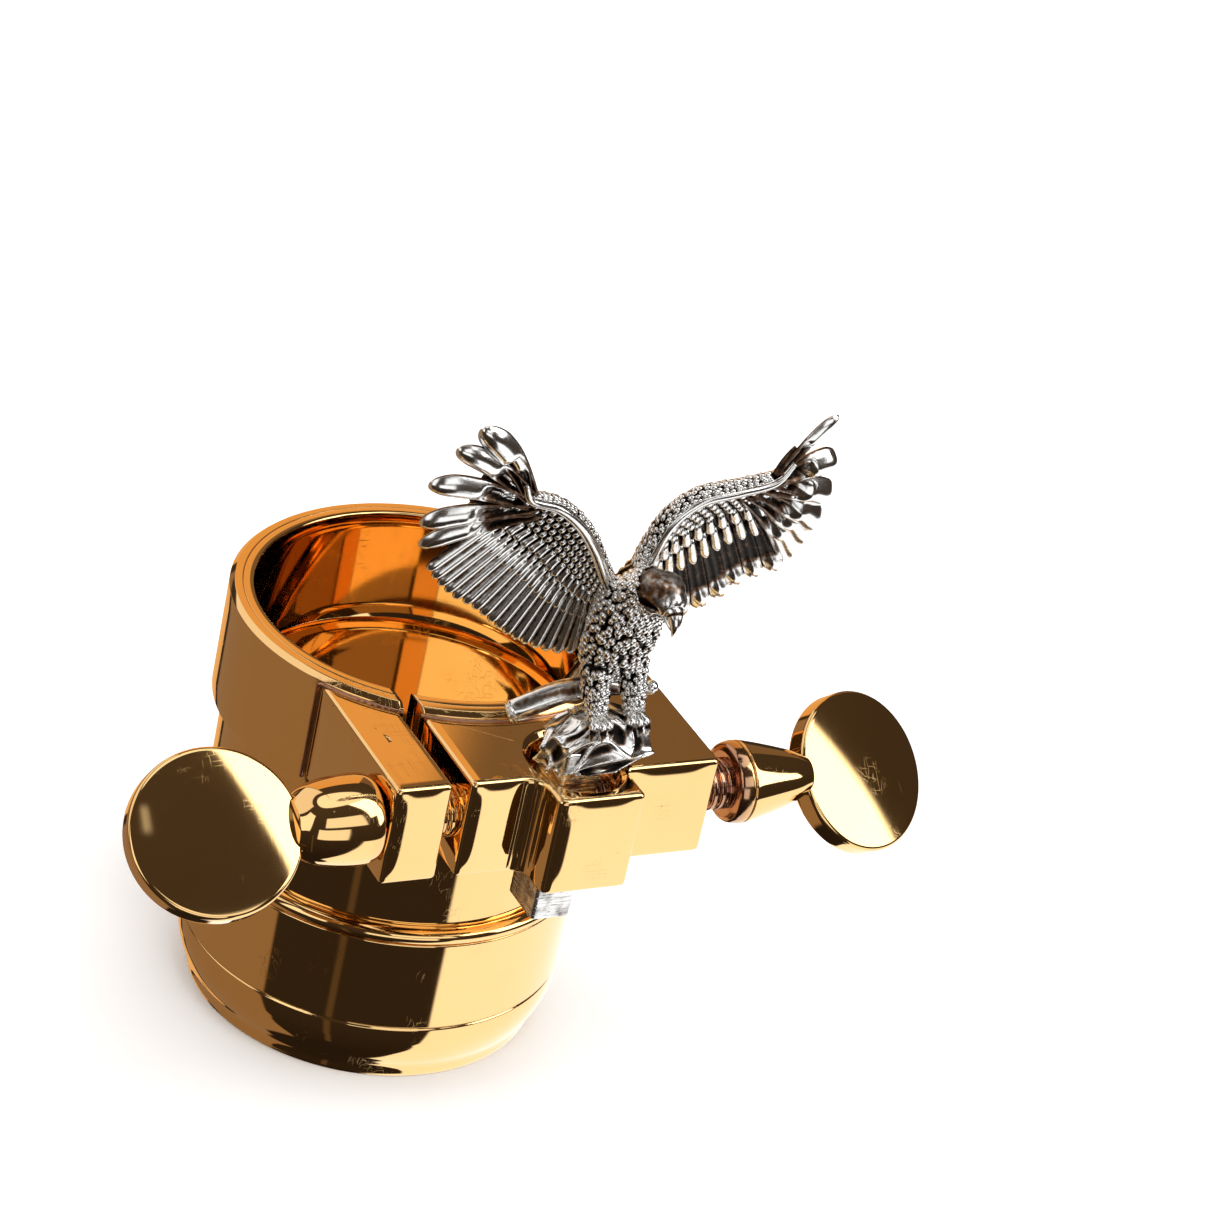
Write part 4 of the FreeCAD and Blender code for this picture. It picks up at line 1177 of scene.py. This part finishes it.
class NECKCLAMP_OT_head(bpy.types.Operator):
    """Makes the head with its brows and eyes, and the hooked beak."""
    bl_idname = "neck_clamp.head"
    bl_label = "Head"

    def execute(self, context):
        skull_line = place("eagle_head", [(0.36, 1.05, 0.22), (0.44, 0.86, 0.47), (0.50, 0.62, 0.57),
                                          (0.53, 0.40, 0.50), (0.53, 0.26, 0.42)])

        def form(t, a):
            side = np.abs(a - math.pi / 2)
            brow = 0.20 * bell(side, 0.95, 0.2) * bell(t, 0.72, 0.2)
            eye = -0.22 * bell(side, 1.38, 0.22) * bell(t, 0.78, 0.13)
            facets = 0.11 * np.abs(np.sin(2.2 * side + 5 * t))
            parting = 0.06 * bell(side, 0.0, 0.3) * bell(t, 0.6, 0.3)
            return brow + eye + (facets - parting)

        def shine(t, a):
            side = np.abs(a - math.pi / 2)
            cap = 0.10 + 0.9 * bell(side, 1.02, 0.16) + 0.5 * bell(t, 0.98, 0.14)
            socket = 0.7 * bell(side, 1.38, 0.2) * bell(t, 0.78, 0.12)
            return np.clip(cap + 0.28 * ease((side - 1.3) / 0.4) - socket, 0, 1)

        skull, ring = loft(skull_line, [1.25, 1.62, 1.62, 1.22, 0.8], [1.15, 1.48, 1.5, 1.15, 0.78],
                           (1, 0, 0), along=72, around=72, bump=form, relief=shine)
        ruff = plumed(ring, 4, 18, 0.3, 0.7, 0.0, 0.22, jitter=0.35)
        cast("eagle_skull", joined(skull, ruff), "eagle_head")

        beak_line = place("eagle_head", [(0.53, 0.30, 0.44), (0.53, 0.19, 0.42), (0.525, 0.11, 0.31),
                                         (0.515, 0.075, 0.17), (0.505, 0.10, 0.02)])

        def cere(t, a):
            return 0.14 * bell(t, 0.16, 0.09) + 0.06 * bell(a, math.pi / 2, 0.5)

        def polish(t, a):
            return np.clip(0.95 - 0.8 * bell(t, 0.30, 0.05) + 0 * a, 0, 1)

        upper, _ = loft(beak_line, [0.74, 0.62, 0.47, 0.30, 0.05], [0.66, 0.58, 0.46, 0.30, 0.06], (1, 0, 0),
                        along=48, around=36, bump=cere, relief=polish)
        jaw_line = place("eagle_head", [(0.53, 0.34, 0.30), (0.53, 0.22, 0.22), (0.52, 0.15, 0.16),
                                        (0.515, 0.12, 0.10)])
        jaw, _ = loft(jaw_line, [0.58, 0.46, 0.32, 0.1], [0.26, 0.22, 0.18, 0.08], (1, 0, 0), along=24,
                      around=24, relief=0.8)
        cast("eagle_beak", joined(upper, jaw))

        eyes = []
        for side in (-1, 1):
            seat = place("eagle_head", (0.53, 0.40, 0.57)) + np.array([side * 1.06, 0, 0])
            eyes.append(ball(seat, 0.26, (0, 1, 0), 20, 0.9))
        cast("eagle_eyes", joined(*eyes))
        return {"FINISHED"}


class NECKCLAMP_OT_perch(bpy.types.Operator):
    """Makes the stem bar, the rock with its flowing folds and the broken branch."""
    bl_idname = "neck_clamp.perch"
    bl_label = "Perch and stem"

    def stem(self):
        """A bar with rounded edges and slightly uneven sawn faces."""
        low, high = box("ornament_stem")
        points, _ = outline([(low[0], low[1]), (high[0], low[1]), (high[0], high[1]), (low[0], high[1])],
                            [0.3] * 4, step=0.25)
        level = np.linspace(low[2] + 0.15, high[2], 90)
        wander = 0.025 * np.sin(level * 5.1)[:, None] * np.sin(np.arange(len(points)) * 0.7)[None]
        middle = points.mean(0)
        ring = middle + (points - middle)[None] * (1 - np.abs(wander) * 0.4)[..., None]
        ring = np.concatenate([ring, np.broadcast_to(level[:, None, None], (*ring.shape[:2], 1))], -1)

        def closing(shrinks, height):
            return np.array([np.column_stack([middle + (points - middle) * k, np.full(len(points), height)])
                             for k in shrinks])

        foot, cap = closing((0.02, 0.4, 0.8, 0.93), low[2]), closing((0.5, 0.02), high[2])
        return shells(np.concatenate([foot, ring, cap])[None])

    def rock(self):
        """A waisted lump. Its folds are the ridges of a sine whose phase is bent by slower sines up
        and round it, so that they flow into each other; a second set runs across them."""
        low, high = box("perch_rock")
        middle, wide = (low[0] + high[0]) / 2, (high[0] - low[0]) / 2
        deep, back = (high[1] - low[1]) / 2, (low[1] + high[1]) / 2
        centres = [(middle + 0.2, back - 0.1, low[2] + 0.02), (middle + 0.1, back, low[2] + 0.6),
                   (middle, back, low[2] + 1.8), (middle, back + 0.1, low[2] + 3.0),
                   (middle - 0.1, back + 0.2, high[2] - 0.1)]

        def fold(t, a):
            phase = 3.5 * a + 2.8 * np.sin(2.6 * t + 0.9 * np.sin(2 * a + 0.6)) + 4.4 * t
            across = 7.0 * t + 1.6 * np.sin(3 * a) + 0.8 * np.sin(5 * a + 1.3)
            return 0.62 * (1 - np.abs(np.sin(phase))) ** 1.4 + 0.38 * (1 - np.abs(np.sin(across))) ** 2

        shape, _ = loft(centres, np.array([0.82, 0.98, 0.97, 0.84, 0.5]) * wide,
                        np.array([0.86, 0.98, 0.97, 0.84, 0.55]) * deep, (1, 0, 0), along=120, around=220,
                        bump=lambda t, a: 0.26 * (fold(t, a) - 0.66),
                        relief=lambda t, a: np.clip(fold(t, a) * 3.0 - 0.05, 0, 1))
        return shape

    def branch(self):
        """A branch with bark ridges that drift round it, and two rings at its broken end."""
        line = place("perch_branch", [(0.03, 0.82, 0.18), (0.11, 0.75, 0.32), (0.35, 0.60, 0.69),
                                      (0.60, 0.50, 0.80), (0.83, 0.33, 0.80), (0.97, 0.15, 0.80)])

        def bark(t, a):
            rings = 0.16 * (bell(t, 0.035, 0.018) + bell(t, 0.10, 0.02)) - 0.12 * bell(t, 0.068, 0.014)
            return rings + 0.05 * np.sin(5 * a + 9 * t) * ease((t - 0.12) / 0.1)

        def shine(t, a):
            worn = 0.50 + 0.16 * np.sin(5 * a + 9 * t) + 0.8 * bell(t, 0.0, 0.12)
            return np.clip(worn - 0.5 * bell(t, 0.068, 0.014), 0, 1)

        limb, _ = loft(line, [0.72, 0.90, 0.92, 0.76, 0.5, 0.34], [0.62, 0.78, 0.80, 0.66, 0.46, 0.34],
                       (0, 0, 1), along=110, around=44, bump=bark, relief=shine)
        tip = place("perch_branch", (0.955, 0.2, 0.86))
        return joined(limb, ball(tip, 0.5, (0, 0, 1), 26, 0.95))

    def execute(self, context):
        piece("ornament_stem_sawn", self.stem(), "ornament", sawn_silver(), ["ornament_stem"],
              weighted=True)
        cast("perch_rock_folded", self.rock(), "perch_rock")
        cast("perch_branch_broken", self.branch(), "perch_branch")
        return {"FINISHED"}


# ---- stage ---------------------------------------------------------------------------------
class NECKCLAMP_OT_stage(bpy.types.Operator):
    """Sets the pale floor, the studio that the metal reflects, the lights and the camera."""
    bl_idname = "neck_clamp.stage"
    bl_label = "Stage"

    view_target = (5.79, -15.0, 8.32)
    # Cards that the metal reflects: azimuth range from the front towards +X and elevation range, in
    # degrees, with a warmth from white to amber, a brightness and what it is a share of.
    cards = [((18, 148), (-80, -20), 0.0, 1.0, "key"), ((42, 69), (8, 70), 0.0, 1.0, "soft"),
             ((27, 42), (32, 70), 0.0, 1.0, "soft"), ((-5, -3), (57, 61), 0.0, 0.4, "key"),
             ((-78, -52), (2, 44), 0.0, 1.0, "key"), ((-30, 8), (-14, 12), 0.0, 0.9, "key"),
             ((-16, 20), (18, 42), 0.0, 0.9, "key"), ((-179, 179), (70, 90), 0.0, 1.0, "key"),
             ((-44, -40), (-60, -6), 1.0, 0.10, "own"), ((-175, -84), (-70, 6), 1.0, 0.30, "own"),
             ((-179, -88), (14, 60), 0.2, 0.8, "key"), ((149, 180), (-60, 45), 1.3, 0.85, "own"),
             ((118, 149), (8, 42), 1.0, 0.20, "own")]

    @staticmethod
    def put(name, points, faces, material):
        """A plain mesh at its place, in metres, that belongs to the stage."""
        mesh = bpy.data.meshes.new(name)
        mesh.from_pydata(points, [], faces)
        mesh.materials.append(material)
        made = bpy.data.objects.new(name, mesh)
        bpy.context.scene.collection.objects.link(made)
        return made

    def world(self):
        world = bpy.data.worlds.new("studio air")
        bpy.context.scene.world = world
        world.use_nodes = True
        background = world.node_tree.nodes["Background"]
        background.inputs["Color"].default_value = (1.0, 1.0, 1.0, 1.0)
        background.inputs["Strength"].default_value = 1.05

    def dome(self, studio):
        """A sphere seen only in reflections. Its light is a dark brown ground plus each card, which is
        the product of a soft step on each of its four sides in azimuth and elevation."""
        material = bpy.data.materials.new("studio cards")
        material.use_nodes = True
        tree = material.node_tree
        tree.nodes.clear()
        here = object_place(tree)
        axes = node(tree, "ShaderNodeSeparateXYZ", {0: here}).outputs
        turn = maths(tree, "ARCTAN2", axes["X"], times(tree, axes["Y"], -1.0))
        length = node(tree, "ShaderNodeVectorMath", {0: here}, operation="LENGTH").outputs["Value"]
        rise = maths(tree, "ARCSINE", maths(tree, "DIVIDE", axes["Z"], length))

        def inside(value, low, high, soft):
            sides = []
            for edge, start in ((math.radians(low), 0.0), (math.radians(high), 1.0)):
                inputs = {0: value, 1: edge - soft, 2: edge + soft, 3: start, 4: 1.0 - start}
                sides.append(node(tree, "ShaderNodeMapRange", inputs,
                                  interpolation_type="SMOOTHSTEP").outputs[0])
            return times(tree, *sides)

        height = node(tree, "ShaderNodeMapRange", {0: rise, 1: -1.2, 2: 1.4}).outputs[0]
        light = blend_colour(tree, height, (0.020, 0.014, 0.010, 1.0), (0.075, 0.055, 0.040, 1.0))
        strengths = {"key": studio.key_strength, "soft": studio.soft_strength, "own": 1.0}
        for (left, right), (bottom, top), warmth, share, lamp in self.cards:
            mask = times(tree, inside(turn, left, right, 0.02), inside(rise, bottom, top, 0.015))
            strength = share * strengths[lamp]
            green, blue = 1 - 0.35 * warmth, 1 - 0.62 * warmth
            light = blend_colour(tree, mask, light, (strength, strength * green, strength * blue, 1.0))
        glow = node(tree, "ShaderNodeEmission", {"Color": light, "Strength": 1.0})
        node(tree, "ShaderNodeOutputMaterial", {"Surface": glow.outputs[0]})
        t = np.linspace(-math.pi / 2, math.pi / 2, 33)
        size = 900.0
        centres = np.stack([0 * t, 0 * t, size * np.sin(t)], -1)
        radius = size * np.maximum(np.cos(t), 0.001)
        (points, faces, _), _ = loft(centres, radius, radius, (1, 0, 0), along=65, around=64)
        faces = [f.tolist() for block in faces for f in block]
        dome = self.put("studio_dome", (points * MM).tolist(), faces, material)
        for sight in ("camera", "diffuse", "shadow", "transmission", "volume_scatter"):
            setattr(dome, "visible_" + sight, False)

    def floor(self):
        """A pale paper sheet under the collar, which the metal's reflections don't show."""
        material = bpy.data.materials.new("pale paper")
        material.use_nodes = True
        tree = material.node_tree
        shader = tree.nodes["Principled BSDF"]
        here = object_place(tree)
        fibre = noise(tree, here, 300.0)
        colour = blend_colour(tree, fibre, (0.94, 0.935, 0.93, 1.0), (0.97, 0.968, 0.965, 1.0))
        tree.links.new(colour, shader.inputs["Base Color"])
        shader.inputs["Roughness"].default_value = 0.9
        half = 4.0
        under = 0.02 * MM
        level = CAD_BOX[0][2] - under
        corners = [(-half, -half, level), (half, -half, level), (half, half, level), (-half, half, level)]
        floor = self.put("floor", corners, [(0, 1, 2, 3)], material)
        floor.visible_glossy = False

    def lamp(self, name, place_at, size, power):
        """A round softbox turned to the camera's target and not seen in reflections."""
        light = bpy.data.lights.new(name, "AREA")
        light.shape = "DISK"
        light.size = size
        light.energy = power
        made = bpy.data.objects.new(name, light)
        made.location = place_at
        made.rotation_mode = "QUATERNION"
        towards = Vector(self.view_target) * MM - Vector(place_at)
        made.rotation_quaternion = towards.to_track_quat("-Z", "Y")
        made.visible_glossy = False
        bpy.context.scene.collection.objects.link(made)

    def camera(self, studio):
        """Looks at the target from an azimuth and elevation, rolled about its own view."""
        target = Vector(self.view_target) * MM
        a, e, r = studio.view_azimuth, studio.view_elevation, studio.view_roll
        back = Vector((math.sin(a) * math.cos(e), -math.cos(a) * math.cos(e), math.sin(e)))
        right = (-back).cross(Vector((0, 0, 1))).normalized()
        up = right.cross(-back)
        rolled = right * math.cos(r) + up * math.sin(r)
        up = up * math.cos(r) - right * math.sin(r)
        lens = bpy.data.cameras.new("camera")
        lens.lens, lens.sensor_width = studio.lens, 36.0
        lens.clip_start, lens.clip_end = 0.01, 20.0
        made = bpy.data.objects.new("camera", lens)
        made.matrix_world = Matrix.Translation(target + back * studio.view_distance) @ Matrix(
            (rolled, up, back)).transposed().to_4x4()
        bpy.context.scene.collection.objects.link(made)
        bpy.context.scene.camera = made

    def execute(self, context):
        studio = context.scene.studio
        context.scene.view_settings.view_transform = "Standard"
        self.world()
        self.dome(studio)
        self.floor()
        self.lamp("overhead softbox", (0.1, -0.25, 0.55), 0.5, 3.0)
        self.camera(studio)
        return {"FINISHED"}


# ---- panel and registration ----------------------------------------------------------------
PIECES = (NECKCLAMP_OT_collar, NECKCLAMP_OT_blocks, NECKCLAMP_OT_screws, NECKCLAMP_OT_perch,
          NECKCLAMP_OT_body, NECKCLAMP_OT_head, NECKCLAMP_OT_wings, NECKCLAMP_OT_stage)
SETTINGS = {"clamp_finish": FinishProperties, "clamp_sizes": ClampProperties, "bird_sizes": BirdProperties,
            "studio": StudioProperties}


class NECKCLAMP_PT_pieces(bpy.types.Panel):
    """Lists the operators and the settings."""
    bl_label = "Neck Clamp"
    bl_space_type = "VIEW_3D"
    bl_region_type = "UI"
    bl_category = "Neck Clamp"

    def draw(self, context):
        for operator in PIECES:
            self.layout.operator(operator.bl_idname)
        for name in SETTINGS:
            column = self.layout.box().column()
            settings = getattr(context.scene, name)
            for key in settings.bl_rna.properties.keys():
                if key not in {"rna_type", "name"}:
                    column.prop(settings, key)


def register():
    for kind in (*SETTINGS.values(), *PIECES, NECKCLAMP_PT_pieces):
        bpy.utils.register_class(kind)
    for name, kind in SETTINGS.items():
        setattr(bpy.types.Scene, name, bpy.props.PointerProperty(type=kind))


def unregister():
    for name in SETTINGS:
        delattr(bpy.types.Scene, name)
    for kind in (NECKCLAMP_PT_pieces, *reversed(PIECES), *reversed(SETTINGS.values())):
        bpy.utils.unregister_class(kind)


def main():
    register()
    for operator in PIECES:
        group_name, operator_name = operator.bl_idname.split(".")
        getattr(getattr(bpy.ops, group_name), operator_name)()


if __name__ == "__main__":
    main()
